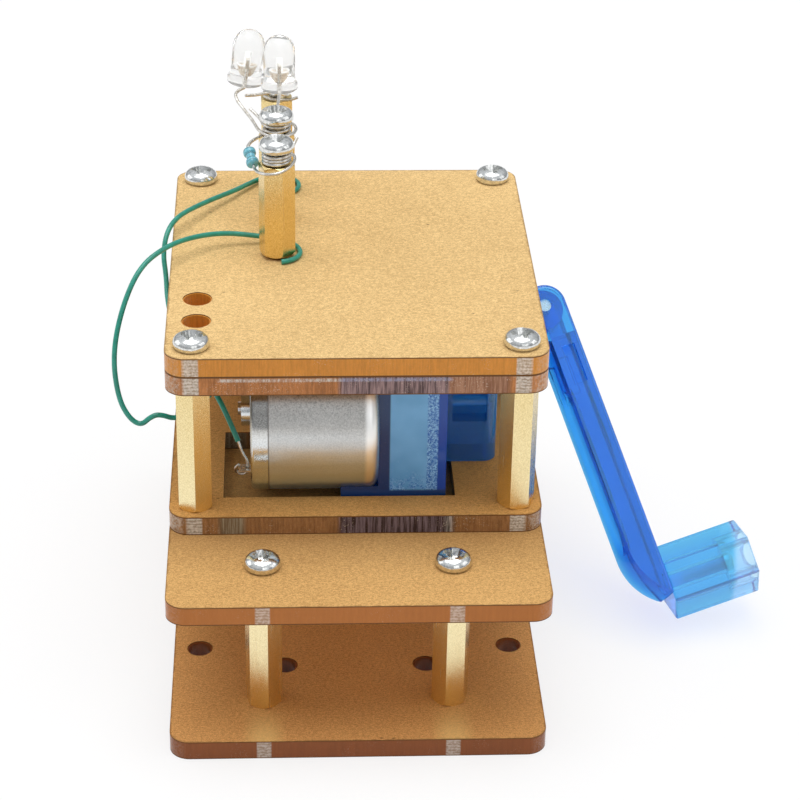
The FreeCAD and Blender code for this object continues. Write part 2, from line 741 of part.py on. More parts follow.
def gear_case():
    """Shell with the clip round the motor, and the cover with the crank housing."""
    y_range = (case_front, case_back)
    z_range = (case_bottom, case_top)
    inside_y = (case_front + case_side_wall, case_back - case_side_wall)
    inside_z = (case_bottom + case_side_wall, case_top - case_side_wall)
    shell = box((case_left, lid_left), y_range, z_range)
    shell = shell.makeFillet(case_edge_round,
                             edges_where(shell, lambda point: near(point.x, (case_left + lid_left) / 2)))
    shell = shell.cut(box((case_inside_left, lid_left), inside_y, inside_z))
    lip = box((case_left - lip_length, case_left), (case_front, motor_cutout_back - cutout_clearance), z_range)
    shell = shell.fuse(lip)
    shell = shell.cut(rod_along_x(motor_y, motor_z, case_left - lip_length, case_left,
                                  motor_radius + running_clearance))
    boss_hole = rod_along_x(motor_y, motor_z, case_left, case_inside_left, motor_boss_radius + running_clearance)
    save("gear_case_shell", [shell.cut(axle_holes() + [boss_hole])])

    cover = box((lid_left, case_right), y_range, z_range)
    cover = cover.makeFillet(case_edge_round,
                             edges_where(cover, lambda point: near(point.x, (lid_left + case_right) / 2)))
    housing = box((case_right, housing_right), (housing_front, case_back), (housing_bottom, housing_top))
    housing = housing.makeFillet(housing_round, edges_where(housing, lambda point: near(point.x, housing_right)
                                                            and (near(point.y, housing_front)
                                                                 or near(point.y, case_back))))
    cover = cover.fuse(housing)
    ledge_z = housing_bottom + ledge_height
    pocket_x = (cutout_right, housing_right - housing_wall)
    pocket = box(pocket_x, (housing_front, housing_front + ledge_depth), (ledge_z, housing_top - case_side_wall))
    cavity = box((lid_left, housing_right - housing_wall),
                 (housing_front + housing_front_block, case_back - case_side_wall),
                 (housing_bottom + case_side_wall, housing_top - case_side_wall))
    guide_y = housing_front + ledge_depth / 2
    guide = rod_along_x(guide_y, guide_rod_z, *pocket_x, guide_rod_radius)
    cover = cover.cut([pocket, cavity]).fuse(guide)
    save("gear_case_cover", [cover.cut(axle_holes())])


# ---------------------------------------------------------------- crank

def place_on_crank(shape):
    """Turn a shape, built with the crank hanging straight down, to the crank's place at rest."""
    shape.rotate(Vector(0, crank_y, crank_z), RIGHT, -crank_angle)
    return shape


def place_on_arm(shape):
    """Move a shape built along the arm (x along it, z to the knob) to its place at rest."""
    shape.rotate(Vector(0, 0, 0), BACK, 90 - arm_tilt)
    shape.translate(Vector(fold_pin_x, crank_y, crank_z))
    return place_on_crank(shape)


def crank_shaft():
    """Shaft, hub disc and the tongue that carries the fold pin."""
    shaft_left = case_inside_left - axle_seat
    hub_left = housing_right + hub_gap
    shaft = rod_along_x(crank_y, crank_z, shaft_left, hub_left, crank_shaft_radius)
    hub = rod_along_x(crank_y, crank_z, hub_left, hub_right, hub_radius)
    half_width = tongue_width / 2
    tongue = box((hub_right, fold_pin_x), (crank_y - half_width, crank_y + half_width),
                 (crank_z - tongue_radius, crank_z + tongue_radius))
    knuckle = rod(Vector(fold_pin_x, crank_y - half_width, crank_z),
                  Vector(fold_pin_x, crank_y + half_width, crank_z), tongue_radius)
    bore = rod(Vector(fold_pin_x, crank_y - half_width, crank_z),
               Vector(fold_pin_x, crank_y + half_width, crank_z), fold_pin_radius + running_clearance)
    save("crank_shaft", [place_on_crank(shaft.fuse([hub, tongue, knuckle]).cut(bore))])


def arm_profile():
    """Side view of the arm: round head, straight blade and round elbow."""
    inner = arm_head_radius - arm_thickness
    elbow_reach = math.sqrt(arm_elbow_radius ** 2 - (arm_elbow_radius - arm_thickness) ** 2)
    elbow_start = arm_length - elbow_reach
    half_bend = math.asin(elbow_reach / arm_elbow_radius) / 2
    elbow_middle = Vector(elbow_start + arm_elbow_radius * math.sin(half_bend), 0,
                          inner + arm_elbow_radius * (1 - math.cos(half_bend)))
    head_meets = Vector(math.sqrt(arm_head_radius ** 2 - inner ** 2), 0, inner)
    head_top = Vector(0, 0, arm_head_radius)
    tip = Vector(arm_length, 0, arm_head_radius)
    elbow = Vector(elbow_start, 0, inner)
    return Part.Wire([
        Part.LineSegment(head_top, tip).toShape(),
        Part.Arc(tip, elbow_middle, elbow).toShape(),
        Part.LineSegment(elbow, head_meets).toShape(),
        Part.Arc(head_meets, Vector(-arm_head_radius, 0, 0), head_top).toShape(),
    ])


def crank_arm():
    """Folding arm with a fork round the tongue and a spindle for the knob."""
    half_width = arm_width / 2
    inner = arm_head_radius - arm_thickness
    face = Part.Face(arm_profile())
    face.translate(BACK * -half_width)
    arm = face.extrude(BACK * arm_width)
    arm = arm.makeFillet(arm_edge_round, edges_where(arm, lambda point: near(abs(point.y), half_width)
                                                     and near(point.z, arm_head_radius)
                                                     and point.x > arm_head_radius))
    fork_half = tongue_width / 2 + fork_gap
    fork = box((-arm_head_radius, fork_depth), (-fork_half, fork_half), (-arm_head_radius, arm_head_radius))
    pin_hole = rod(Vector(0, -half_width, 0), Vector(0, half_width, 0), fold_pin_radius)
    slot_radius = arm_slot_width / 2
    slot_top = inner + arm_slot_depth
    slot_ends = (arm_slot_start + slot_radius, arm_slot_end - slot_radius)
    slot = [box(slot_ends, (-slot_radius, slot_radius), (inner, slot_top))]
    slot += [rod_up(x, 0, inner, slot_top, slot_radius) for x in slot_ends]
    middle = inner + arm_thickness / 2
    pocket_z = (middle - arm_pocket_height / 2, middle + arm_pocket_height / 2)
    pocket_x = (arm_pocket_start, arm_pocket_end)
    pockets = [box(pocket_x, (-half_width, arm_pocket_depth - half_width), pocket_z),
               box(pocket_x, (half_width - arm_pocket_depth, half_width), pocket_z)]
    arm = arm.cut([fork, pin_hole] + slot + pockets)
    spindle_end = spindle_top()
    arm = arm.fuse(rod_up(knob_distance, 0, arm_head_radius, spindle_end, spindle_radius))
    arm = arm.cut(rod_up(knob_distance, 0, spindle_end - knob_screw_length, spindle_end, knob_screw_radius))
    save("crank_arm", [place_on_arm(arm)])

    pin_half = half_width - fold_pin_recess
    save("fold_pin", [place_on_arm(rod(Vector(0, -pin_half, 0), Vector(0, pin_half, 0), fold_pin_radius))])


def spindle_top():
    """Height of the spindle's end, just above the floor of the knob's recess."""
    return arm_head_radius + 2 * knob_gap + knob_length - knob_recess_depth


def knob():
    """Six-sided knob on the arm's spindle, held by a small screw."""
    bottom = arm_head_radius + knob_gap
    top = bottom + knob_length
    body = hexagon(knob_distance, 0, bottom, top, knob_flats, knob_turn - 30)
    body = body.makeFillet(knob_round, edges_where(body, lambda point: near(point.z, bottom) or near(point.z, top)))
    bore = rod_up(knob_distance, 0, bottom, top, spindle_radius + running_clearance)
    recess = rod_up(knob_distance, 0, top - knob_recess_depth, top, knob_recess_radius)
    save("knob", [place_on_arm(body.cut([bore, recess]))])

    seat = spindle_top()
    head = rod_up(knob_distance, 0, seat, seat + knob_screw_head_height, knob_screw_head_radius)
    head = head.makeFillet(knob_screw_head_height / 2,
                           edges_where(head, lambda point: near(point.z, seat + knob_screw_head_height)))
    recess = cross_recess(seat + knob_screw_head_height, knob_screw_head_radius, cross_width,
                          knob_screw_head_height / 2)
    for tool in recess:
        tool.translate(Vector(knob_distance, 0, 0))
    shank = rod_up(knob_distance, 0, seat - knob_screw_length, seat, knob_screw_radius)
    save("knob_screw", [place_on_arm(head.cut(recess).fuse(shank))])


# ---------------------------------------------------------------- lights, resistor and wires

def screw_turns(post, start_level, end_level, start_angle, sweep):
    """Corner points of the turns of a lead round a post's upper screw."""
    count = round(abs(sweep) / turn_step)
    corner_radius = turn_radius / math.cos(math.radians(turn_step / 2))
    points = []
    for number in range(count):
        share = (number + 0.5) / count
        angle = math.radians(start_angle + sweep * share)
        level = start_level + (end_level - start_level) * share
        points.append(Vector(post_x + corner_radius * math.cos(angle),
                             post_ys[post] + corner_radius * math.sin(angle),
                             post_tops[post] + turn_rise * (0.5 + level)))
    return points


def place_led(shape, place, tilt):
    """Put a diode, built on the origin, on its place with its top tilted to the right."""
    shape.rotate(Vector(0, 0, 0), BACK, tilt)
    shape.translate(Vector(*place, led_bottom_z))
    return shape


def led_lead_frame(side):
    """Leg and inner plate of one lead of a diode that stands on the origin."""
    y = side * led_lead_pitch / 2
    leg = rod_up(0, y, 0, led_plate_top - led_plate_height / 2, lead_radius)
    inner = side * led_plate_gap / 2
    outer = side * (led_plate_gap / 2 + led_plate_width)
    half = led_plate_thickness / 2
    plate = box((-half, half), (min(inner, outer), max(inner, outer)),
                (led_plate_top - led_plate_height, led_plate_top))
    return leg.fuse(plate)


def led(name, place, tilt, front_route, rear_route):
    """One diode: clear lens and its two leads."""
    dome_centre = led_length - led_radius
    lens = rod_up(0, 0, 0, led_flange_height, led_flange_radius)
    lens = lens.fuse([rod_up(0, 0, 0, dome_centre, led_radius),
                      Part.makeSphere(led_radius, Vector(0, 0, dome_centre), UP, 0, 90, 360)])
    frames = [led_lead_frame(side) for side in (-1, 1)]
    save("led_" + name + "_lens", [place_led(lens.cut(frames), place, tilt)])

    leads = []
    for side, route in ((-1, front_route), (1, rear_route)):
        frame = place_led(led_lead_frame(side), place, tilt)
        start = place_led(Part.Vertex(0, side * led_lead_pitch / 2, 0), place, tilt).Point
        below = place_led(Part.Vertex(0, side * led_lead_pitch / 2, -led_flange_height / 2), place, tilt).Point
        outside, radii = swept_wire([start, below] + route, lead_radius)
        report("led_" + name, radii)
        leads.append(frame.fuse(outside))
    save("led_" + name + "_leads", leads)


def leds():
    """Both diodes, their leads wound under the screws of the middle and rear posts."""
    right_front = vectors([(-11.20, 27.90, 74.10), (-11.50, 26.70, 73.05)])
    right_front += screw_turns("middle", 2.8, 2.8, 75, -255)
    right_front += vectors([(-14.10, 25.20, 72.95), (-15.60, 27.00, 73.70)])
    right_rear = vectors([(-10.60, 31.70, 74.00), (-9.50, 33.20, 73.60)])
    right_rear += screw_turns("rear", 1.3, 0, 0, 270)
    right_rear += vectors([(-9.40, 33.10, 72.60), (-8.10, 32.80, 73.20)])
    led("right", led_right_place, 0.0, right_front, right_rear)

    left_front = vectors([(-17.30, 31.10, 75.20), (-17.95, 30.10, 74.90), (-17.60, 28.80, 74.30),
                          (-16.60, 27.20, 73.60), (-15.20, 24.60, 72.80), (-14.30, 21.80, 72.30),
                          (-12.90, 20.00, 72.10), (-11.20, 19.50, 72.00), (-9.20, 20.40, 72.00),
                          (-8.30, 22.40, 72.05), (-8.70, 24.80, 72.05), (-10.60, 26.20, 72.00),
                          (-12.60, 25.70, 72.00)])
    left_front += screw_turns("middle", 1, 2, 170, 360)
    left_rear = vectors([(-16.20, 34.40, 74.70), (-15.30, 35.40, 73.95)])
    left_rear += screw_turns("rear", 3, 3, 150, -240)
    left_rear += vectors([(-13.20, 32.70, 73.95), (-14.80, 31.80, 74.00), (-16.40, 31.20, 74.20)])
    led("left", led_left_place, led_left_tilt, left_front, left_rear)


def resistor():
    """Small resistor and its two leads."""
    centre = Vector(*resistor_centre)
    direction = Vector(*resistor_direction)
    direction.normalize()
    half = direction * (resistor_length / 2)
    ends = []
    for sign in (-1, 1):
        face = centre + half * sign
        end = rod(face, face - direction * (sign * resistor_end_length), resistor_end_radius)
        ends.append(end.makeFillet(resistor_round, end.Edges[0:1] + end.Edges[2:3]))
    waist = rod(centre - half * 0.5, centre + half * 0.5, resistor_waist_radius)
    save("resistor_body", [waist.fuse(ends)])

    front_route = [centre + half, centre + half * 1.6]
    front_route += vectors([(-14.20, 8.70, 70.95), (-12.80, 7.35, 71.20), (-11.10, 7.10, 71.50),
                            (-9.55, 8.20, 71.95), (-8.70, 10.20, 72.20), (-8.70, 12.30, 72.20),
                            (-9.90, 13.80, 72.15), (-11.80, 13.80, 72.05)])
    front_route += screw_turns("front", 0, 2.6, 150, 930)
    front_route += vectors([(-9.10, 12.40, 73.45), (-8.30, 13.60, 74.60)])
    rear_route = [centre - half, centre - half * 1.5]
    rear_route += vectors([(-15.50, 16.60, 72.45), (-14.90, 18.40, 72.20), (-14.20, 20.40, 71.70),
                           (-13.60, 21.90, 71.47)])
    rear_route += screw_turns("middle", 0, 0, 180, -250)
    leads = []
    for route in (front_route, rear_route):
        lead, radii = swept_wire(route, lead_radius)
        report("resistor", radii)
        leads.append(lead)
    save("resistor_leads", leads)


def wire(name, post, route, strand_route):
    """Insulated wire from under a post to a motor terminal, with its bare ends."""
    points = vectors(route)
    tube, radii = swept_wire(points, wire_radius)
    report(name, radii)
    path, radii = rounded_path(points)
    print(name, "volume over section times length", tube.Volume / (math.pi * wire_radius ** 2 * path.Length))
    strand, radii = swept_wire(vectors(strand_route), strand_radius)
    report(name + " strand", radii)
    strand = strand.cut(tube)
    axis = Vector(post_x, post_ys[post], 0)
    ring = rod_up(axis.x, axis.y, stack_top, post_bottoms[post], strand_ring_radius)
    ring = ring.cut(rod_up(axis.x, axis.y, stack_top, post_bottoms[post], screw_hole_radius))
    inwards = Vector(axis.x, axis.y, points[0].z) - points[0]
    stub_end = points[0] + inwards * (1 - (screw_hole_radius + strand_radius) / inwards.Length)
    stub_z = UP * (stack_top + strand_radius - points[0].z)
    stub = rod(points[0] + stub_z, stub_end + stub_z, strand_radius)
    stub = stub.cut([rod_up(axis.x, axis.y, stack_top, stack_top + 1, screw_hole_radius), tube])
    save(name, [tube, strand, ring.fuse(stub)])


# ---------------------------------------------------------------- files

def report(name, radii):
    """Print the bend radii of a wire."""
    print(name, "radii", [round(radius, 2) for radius in radii])


def save(name, solids):
    """Write one sub-part to its own STEP file."""
    clean = []
    for solid in solids:
        clean += solid.removeSplitter().Solids
    shape = clean[0] if len(clean) == 1 else Part.makeCompound(clean)
    print(name, "solids", len(clean), "valid", shape.isValid(), "volume", round(shape.Volume, 3))
    shape.exportStep("parts/" + name + ".step")


def main():
    """Build every sub-part."""
    os.makedirs("parts", exist_ok=True)
    plates()
    spacers_and_screws()
    posts()
    motor_housing()
    rotor()
    gear_train()
    gear_case()
    crank_shaft()
    crank_arm()
    knob()
    leds()
    resistor()
    wire("wire_front", "front", wire_front_route, wire_front_strand)
    wire("wire_rear", "rear", wire_rear_route, wire_rear_strand)


main()
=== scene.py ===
"""Hand crank generator: materials, wires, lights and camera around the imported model."""
import bpy
import bmesh
import json
import math
from mathutils import Matrix, Vector


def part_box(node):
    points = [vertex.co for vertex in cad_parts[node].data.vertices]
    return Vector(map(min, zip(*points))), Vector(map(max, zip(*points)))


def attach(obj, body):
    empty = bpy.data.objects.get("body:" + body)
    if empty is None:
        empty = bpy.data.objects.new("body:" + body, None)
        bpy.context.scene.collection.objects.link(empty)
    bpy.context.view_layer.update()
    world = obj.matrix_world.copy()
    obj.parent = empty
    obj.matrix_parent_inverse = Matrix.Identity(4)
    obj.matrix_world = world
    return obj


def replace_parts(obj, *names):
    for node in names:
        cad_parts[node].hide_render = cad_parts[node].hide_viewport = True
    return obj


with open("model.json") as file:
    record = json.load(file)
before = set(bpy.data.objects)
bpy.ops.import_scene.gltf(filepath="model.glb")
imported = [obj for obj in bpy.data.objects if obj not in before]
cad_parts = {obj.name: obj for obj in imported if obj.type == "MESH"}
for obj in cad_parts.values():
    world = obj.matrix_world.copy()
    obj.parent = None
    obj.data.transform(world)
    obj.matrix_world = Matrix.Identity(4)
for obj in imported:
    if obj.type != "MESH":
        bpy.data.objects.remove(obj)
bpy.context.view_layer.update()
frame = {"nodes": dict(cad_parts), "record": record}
nodes = frame["nodes"]
scene = bpy.context.scene

# Camera: place in metres, angles in degrees, focal length in millimetres on a 36 mm sensor.
CAMERA_PLACE = Vector((-0.01055, -0.34118, 0.22780))
CAMERA_YAW = 3.003
CAMERA_PITCH = -29.266
CAMERA_ROLL = 1.032
CAMERA_LENS = 113.73
SENSOR_WIDTH = 36.0

# Sizes that the pieces made here share with the model, in metres; tilts are in degrees.
SCREW_RADIUS = 0.0015
HEAD_HEIGHT = 0.0021
LED_RADIUS = 0.0025
LED_FLANGE_RADIUS = 0.0029
LED_FLANGE_HEIGHT = 0.0010
LED_LENGTH = 0.0087
LED_LEFT_TILT = 6.7
WIRE_DIAMETER = 0.0008
STRAND_RADIUS = 0.00022
RESISTOR_DIRECTION = Vector((0.210, -0.913, -0.352))

# Bands of the resistor: start and end of each, from its middle, and how soft their ends are, in metres.
RESISTOR_BANDS = ((0.00034, 0.00050), (0.00118, 0.00130))
RESISTOR_BAND_SOFT = 0.00003

# Pan head from its foot to its crown, as radius and height in millimetres, and its cross recess in metres.
# Edges that bend by more degrees than SHARP_FROM look sharp.
HEAD_PROFILE = ((0, 0), (2.25, 0.0), (2.50, 0.10), (2.64, 0.32), (2.70, 0.65), (2.66, 1.00), (2.52, 1.34),
                (2.25, 1.64), (1.85, 1.86), (1.35, 2.00), (0.75, 2.08), (0, 2.10))
RECESS_DEPTH = 0.00125
RECESS_WING = (0.0022, 0.00070)
RECESS_WING_FLARE = 1.65
RECESS_CORE = 0.00130
RECESS_CORE_FLARE = 1.6
CUT_MARGIN = 0.0001
SHARP_FROM = 32.0

# Plates inside a lens, as radius and height in metres.
CUP_PROFILE = ((0, 0.0012), (0.00065, 0.0012), (0.00090, 0.0016), (0.00125, 0.0030), (0.00115, 0.0032),
               (0.00070, 0.0026), (0.00042, 0.0028), (0.00038, 0.0052), (0, 0.0053))

# Where the materials change, in metres on the object; each pair is the start and the end of a change or a band.
# Half widths of the painted reflections of the brass spacers on the base film.
PAINTED_GLOW_HALF_WIDTH = (0.0008, 0.0034)
# Where the painted shade under the frame ends at the back.
PAINTED_SHADE_BACK = (-0.0200, -0.0180)
BAR_HALF_WIDTH = (0.00095, 0.00115)
BAR_REACH = (0.002, 0.0112)
# Where the painted bright line in the front edges turns from warm to bluish.
PAINTED_GLINT_TURN = (-0.0030, -0.0020)
FROST_START = (0.0243, 0.0250)
# Heights over which the painted sheen on the brass spacers fades.
PAINTED_SPACER_SHEEN = (0.0300, 0.0565)
MOTOR_SPOTS = (0.0425, 0.0500)
# Heights over which painted shade from the frame above grows on the motor.
MOTOR_PAINTED_SHADE = (0.0415, 0.0450)
# Heights over which a bluish painted reflection on the motor fades toward its top.
MOTOR_PAINTED_COOL = (0.0320, 0.0430)
MOTOR_RIM = (0.0014, 0.0030)
MOTOR_SEAM = (-0.01305, -0.01285)
CUP_TOP = (0.0789, 0.0792)
KNOB_HOLLOW = (0.0598, 0.0606)
CASE_FRONT = -0.0165
CASE_FOOT = (0.0302, 0.0306)
CASE_FROST = (0.0340, 0.0362)
CASE_LEFT_WALL = (0.00500, 0.00520)
CASE_STRIPE = (0.01050, 0.01075)
CASE_RIGHT_WALL = (0.01215, 0.01235)

# Blue mouldings: colour of a thin wall, colour that thick ones deepen to, and how fast they do.
DEEP_BLUE = ((0.20, 0.68, 0.99), (0.0, 0.65, 0.955), 350.0)
LIGHT_BLUE = ((0.36, 0.88, 0.99), (0.01, 0.70, 0.97), 240.0)

# The arm's lower side is shaded as if it leaned this way, so that it mirrors less of the floor.
ARM_LEAN = (0.0, -1.1, 0.4)
ARM_LOWER_SIDE = (-0.7, 0.0, -0.7)

# Waves of the screw threads that show through the sheets, in radians per metre: a pitch of half a millimetre.
THREAD_WAVES = 12566.0

# Floor: width in metres, and its share of plain white for the camera and for mirrored and refracted rays.
FLOOR_SIZE = 6.0
FLOOR_WHITE = 0.72

# Light of the surroundings: level by height and by side, as the start and end of the change and the levels there,
# and how much brighter metal and gloss mirror them.
SKY_BY_HEIGHT = (0.15, 0.95, 0.26, 0.60)
SKY_BY_SIDE = (-1.0, 1.0, 0.03, -0.03)
SKY_MIRRORED = 1.5

# Lamps: name, place, size in metres, power in watts. All point at one place.
LAMP_AIM = (0.0, 0.0, 0.03)
LAMPS = (
    ("overhead", (-0.06, 0.05, 2.40), 2.0, 37.0),
    ("front", (0.25, -0.80, 0.35), 0.5, 0.6),
    ("left", (-0.70, 0.15, 0.35), 0.5, 0.7),
    ("right", (0.70, -0.15, 0.40), 0.5, 0.6),
)

# Routes of the two insulated wires and of their bare ends.
WIRE_FRONT_ROUTE = (
    (-0.01084, 0.00735, 0.05665), (-0.00941, 0.00760, 0.05665), (-0.00775, 0.00998, 0.05665),
    (-0.00825, 0.01284, 0.05670), (-0.01063, 0.01450, 0.05690), (-0.01440, 0.01490, 0.05750),
    (-0.01980, 0.01440, 0.05830), (-0.02460, 0.01140, 0.05900), (-0.02860, 0.00680, 0.05950),
    (-0.03230, 0.00250, 0.05820), (-0.03490, -0.00130, 0.05330), (-0.03640, -0.00360, 0.04660),
    (-0.03580, -0.00490, 0.04000), (-0.03420, -0.00560, 0.03670), (-0.03240, -0.00600, 0.03560),
    (-0.03100, -0.00600, 0.03700), (-0.02960, -0.00580, 0.03750), (-0.02700, -0.00500, 0.03600),
    (-0.02380, -0.00390, 0.03760), (-0.02080, -0.00320, 0.04060), (-0.01860, -0.00280, 0.04260),
)
WIRE_FRONT_STRAND = (
    (-0.01860, -0.00280, 0.04260), (-0.01740, -0.00260, 0.04380), (-0.01610, -0.00250, 0.04560),
    (-0.01610, -0.00250, 0.04720), (-0.01660, -0.00245, 0.04775), (-0.01740, -0.00240, 0.04775),
    (-0.01795, -0.00230, 0.04720), (-0.01795, -0.00210, 0.04640), (-0.01740, -0.00190, 0.04590),
)
WIRE_REAR_ROUTE = (
    (-0.01175, 0.03211, 0.05665), (-0.01031, 0.03199, 0.05665), (-0.00809, 0.03385, 0.05665),
    (-0.00784, 0.03674, 0.05665), (-0.00970, 0.03896, 0.05665), (-0.01259, 0.03921, 0.05675),
    (-0.01510, 0.03690, 0.05690), (-0.01820, 0.03210, 0.05740), (-0.02160, 0.02780, 0.05790),
    (-0.02420, 0.02390, 0.05840), (-0.02700, 0.01940, 0.05880), (-0.02860, 0.01560, 0.05800),
    (-0.02920, 0.01320, 0.05520), (-0.02870, 0.01100, 0.05260), (-0.02850, 0.00800, 0.04990),
    (-0.02760, 0.00420, 0.04790), (-0.02540, -0.00180, 0.04690), (-0.02280, -0.00740, 0.04560),
    (-0.02060, -0.01120, 0.04370), (-0.01910, -0.01300, 0.04130), (-0.01750, -0.01420, 0.03750),
)
WIRE_REAR_STRAND = (
    (-0.01750, -0.01420, 0.03750), (-0.01700, -0.01435, 0.03560), (-0.01610, -0.01450, 0.03420),
    (-0.01610, -0.01450, 0.03260), (-0.01660, -0.01455, 0.03205), (-0.01740, -0.01460, 0.03205),
    (-0.01795, -0.01470, 0.03260), (-0.01795, -0.01490, 0.03340), (-0.01740, -0.01510, 0.03390),
)

# ---------------------------------------------------------------- shader graphs

class Graph:
    """Node tree of a material or of the world, with short calls for its nodes."""

    def __init__(self, name, world=False):
        self.owner = bpy.data.worlds.new(name) if world else bpy.data.materials.new(name)
        self.owner.use_nodes = True
        self.tree = self.owner.node_tree
        self.tree.nodes.clear()
        self.output = self.tree.nodes.new("ShaderNodeOutput" + ("World" if world else "Material"))

    def node(self, kind, inputs, **settings):
        """A node with its inputs, by name or number, as values or links."""
        made = self.tree.nodes.new("ShaderNode" + kind)
        for key, value in settings.items():
            setattr(made, key, value)
        for key, value in inputs.items():
            self.feed(made.inputs[key], value)
        return made

    def feed(self, socket, value):
        """Sets a socket to a value or links it."""
        if isinstance(value, bpy.types.NodeSocket):
            self.tree.links.new(value, socket)
        elif socket.type == "RGBA" and len(value) == 3:
            socket.default_value = (*value, 1.0)
        else:
            socket.default_value = value

    def place(self):
        """Place on the object, in metres."""
        return self.node("TexCoord", {}).outputs["Object"]

    def normal(self):
        """Surface normal in the scene."""
        return self.node("NewGeometry", {}).outputs["Normal"]

    def own_normal(self):
        """Surface normal on the object, which turns with it."""
        return self.node("TexCoord", {}).outputs["Normal"]

    def split(self, vector):
        """The three parts of a vector."""
        return self.node("SeparateXYZ", {0: vector}).outputs

    def stretch(self, scale):
        """Place on the object with each axis scaled."""
        return self.node("Mapping", {"Vector": self.place(), "Scale": scale}).outputs[0]

    def math(self, operation, first, second=0.0):
        """One arithmetic step."""
        return self.node("Math", {0: first, 1: second}, operation=operation).outputs[0]

    def blend(self, *pairs):
        """Sum of values, each times its weight."""
        total = 0.0
        for value, weight in pairs:
            total = self.math("ADD", self.math("MULTIPLY", value, weight), total)
        return total

    def both(self, *values):
        """Product of values."""
        total = values[0]
        for value in values[1:]:
            total = self.math("MULTIPLY", total, value)
        return total

    def vector_math(self, operation, first, second=(0.0, 0.0, 0.0)):
        """One vector step; the result is a vector, or a number for a dot product or a length."""
        made = self.node("VectorMath", {0: first, 1: second}, operation=operation)
        return made.outputs["Value" if operation in ("DOT_PRODUCT", "LENGTH") else "Vector"]

    def noise(self, scale, detail=2.0, rough=0.5, vector=None):
        """Noise between 0 and 1."""
        made = self.node("TexNoise", {"Vector": vector or self.place(), "Scale": scale, "Detail": detail,
                                      "Roughness": rough})
        return made.outputs["Fac"]

    def cells(self, scale, vector=None):
        """Distance from the nearest of many scattered points."""
        return self.node("TexVoronoi", {"Vector": vector or self.place(), "Scale": scale}).outputs["Distance"]

    def steps(self, value, low, high, to_low=0.0, to_high=1.0):
        """Value mapped from one range to another, clamped."""
        return self.node("MapRange", {0: value, 1: low, 2: high, 3: to_low, 4: to_high}).outputs[0]

    def within(self, value, low, high, soft=0.0001):
        """1 inside a range, 0 outside it."""
        return self.both(self.steps(value, low - soft, low + soft),
                         self.steps(value, high - soft, high + soft, 1.0, 0.0))

    def from_outline(self, x_range, y_range, radius):
        """Distance in plan from the outline of an upright rounded box, in metres."""
        middle = ((x_range[0] + x_range[1]) / 2, (y_range[0] + y_range[1]) / 2, 0.0)
        reach = ((x_range[1] - x_range[0]) / 2 - radius, (y_range[1] - y_range[0]) / 2 - radius, 1.0)
        way = self.vector_math("ABSOLUTE", self.vector_math("SUBTRACT", self.place(), middle))
        way = self.vector_math("MAXIMUM", self.vector_math("SUBTRACT", way, reach))
        return self.math("ABSOLUTE", self.math("SUBTRACT", self.vector_math("LENGTH", way), radius))

    def mix(self, share, first, second):
        """Mix of two colours."""
        made = self.node("Mix", {}, data_type="RGBA")
        self.feed(made.inputs[0], share)
        self.feed(made.inputs[6], first)
        self.feed(made.inputs[7], second)
        return made.outputs[2]

    def bump(self, height, strength, depth):
        """Normal from a height between 0 and 1 that stands for the given depth in metres."""
        return self.node("Bump", {"Height": height, "Strength": strength, "Distance": depth}).outputs[0]

    def show(self, shader):
        """Uses a shader as the surface."""
        self.tree.links.new(shader.outputs[0], self.output.inputs["Surface"])

    def surface(self, **inputs):
        """Principled shader as the material's surface."""
        made = self.node("BsdfPrincipled", {key.replace("_", " "): value for key, value in inputs.items()})
        self.show(made)
        return made

    def let_lamps_through(self, principled, tint):
        """Light of the lamps passes the surface with a tint, as through clear plastic."""
        path = self.node("LightPath", {})
        clear = self.node("BsdfTransparent", {"Color": tint})
        self.show(self.node("MixShader", {0: path.outputs["Is Shadow Ray"], 1: principled.outputs[0],
                                          2: clear.outputs[0]}))

    def absorb(self, color, density):
        """Colour that deepens with the way through the solid."""
        inside = self.node("VolumeAbsorption", {"Color": color, "Density": density})
        self.tree.links.new(inside.outputs[0], self.output.inputs["Volume"])


def shaded(color, factor):
    """Colour made darker or lighter."""
    return tuple(part * factor for part in color)


# ---------------------------------------------------------------- paper and acrylic

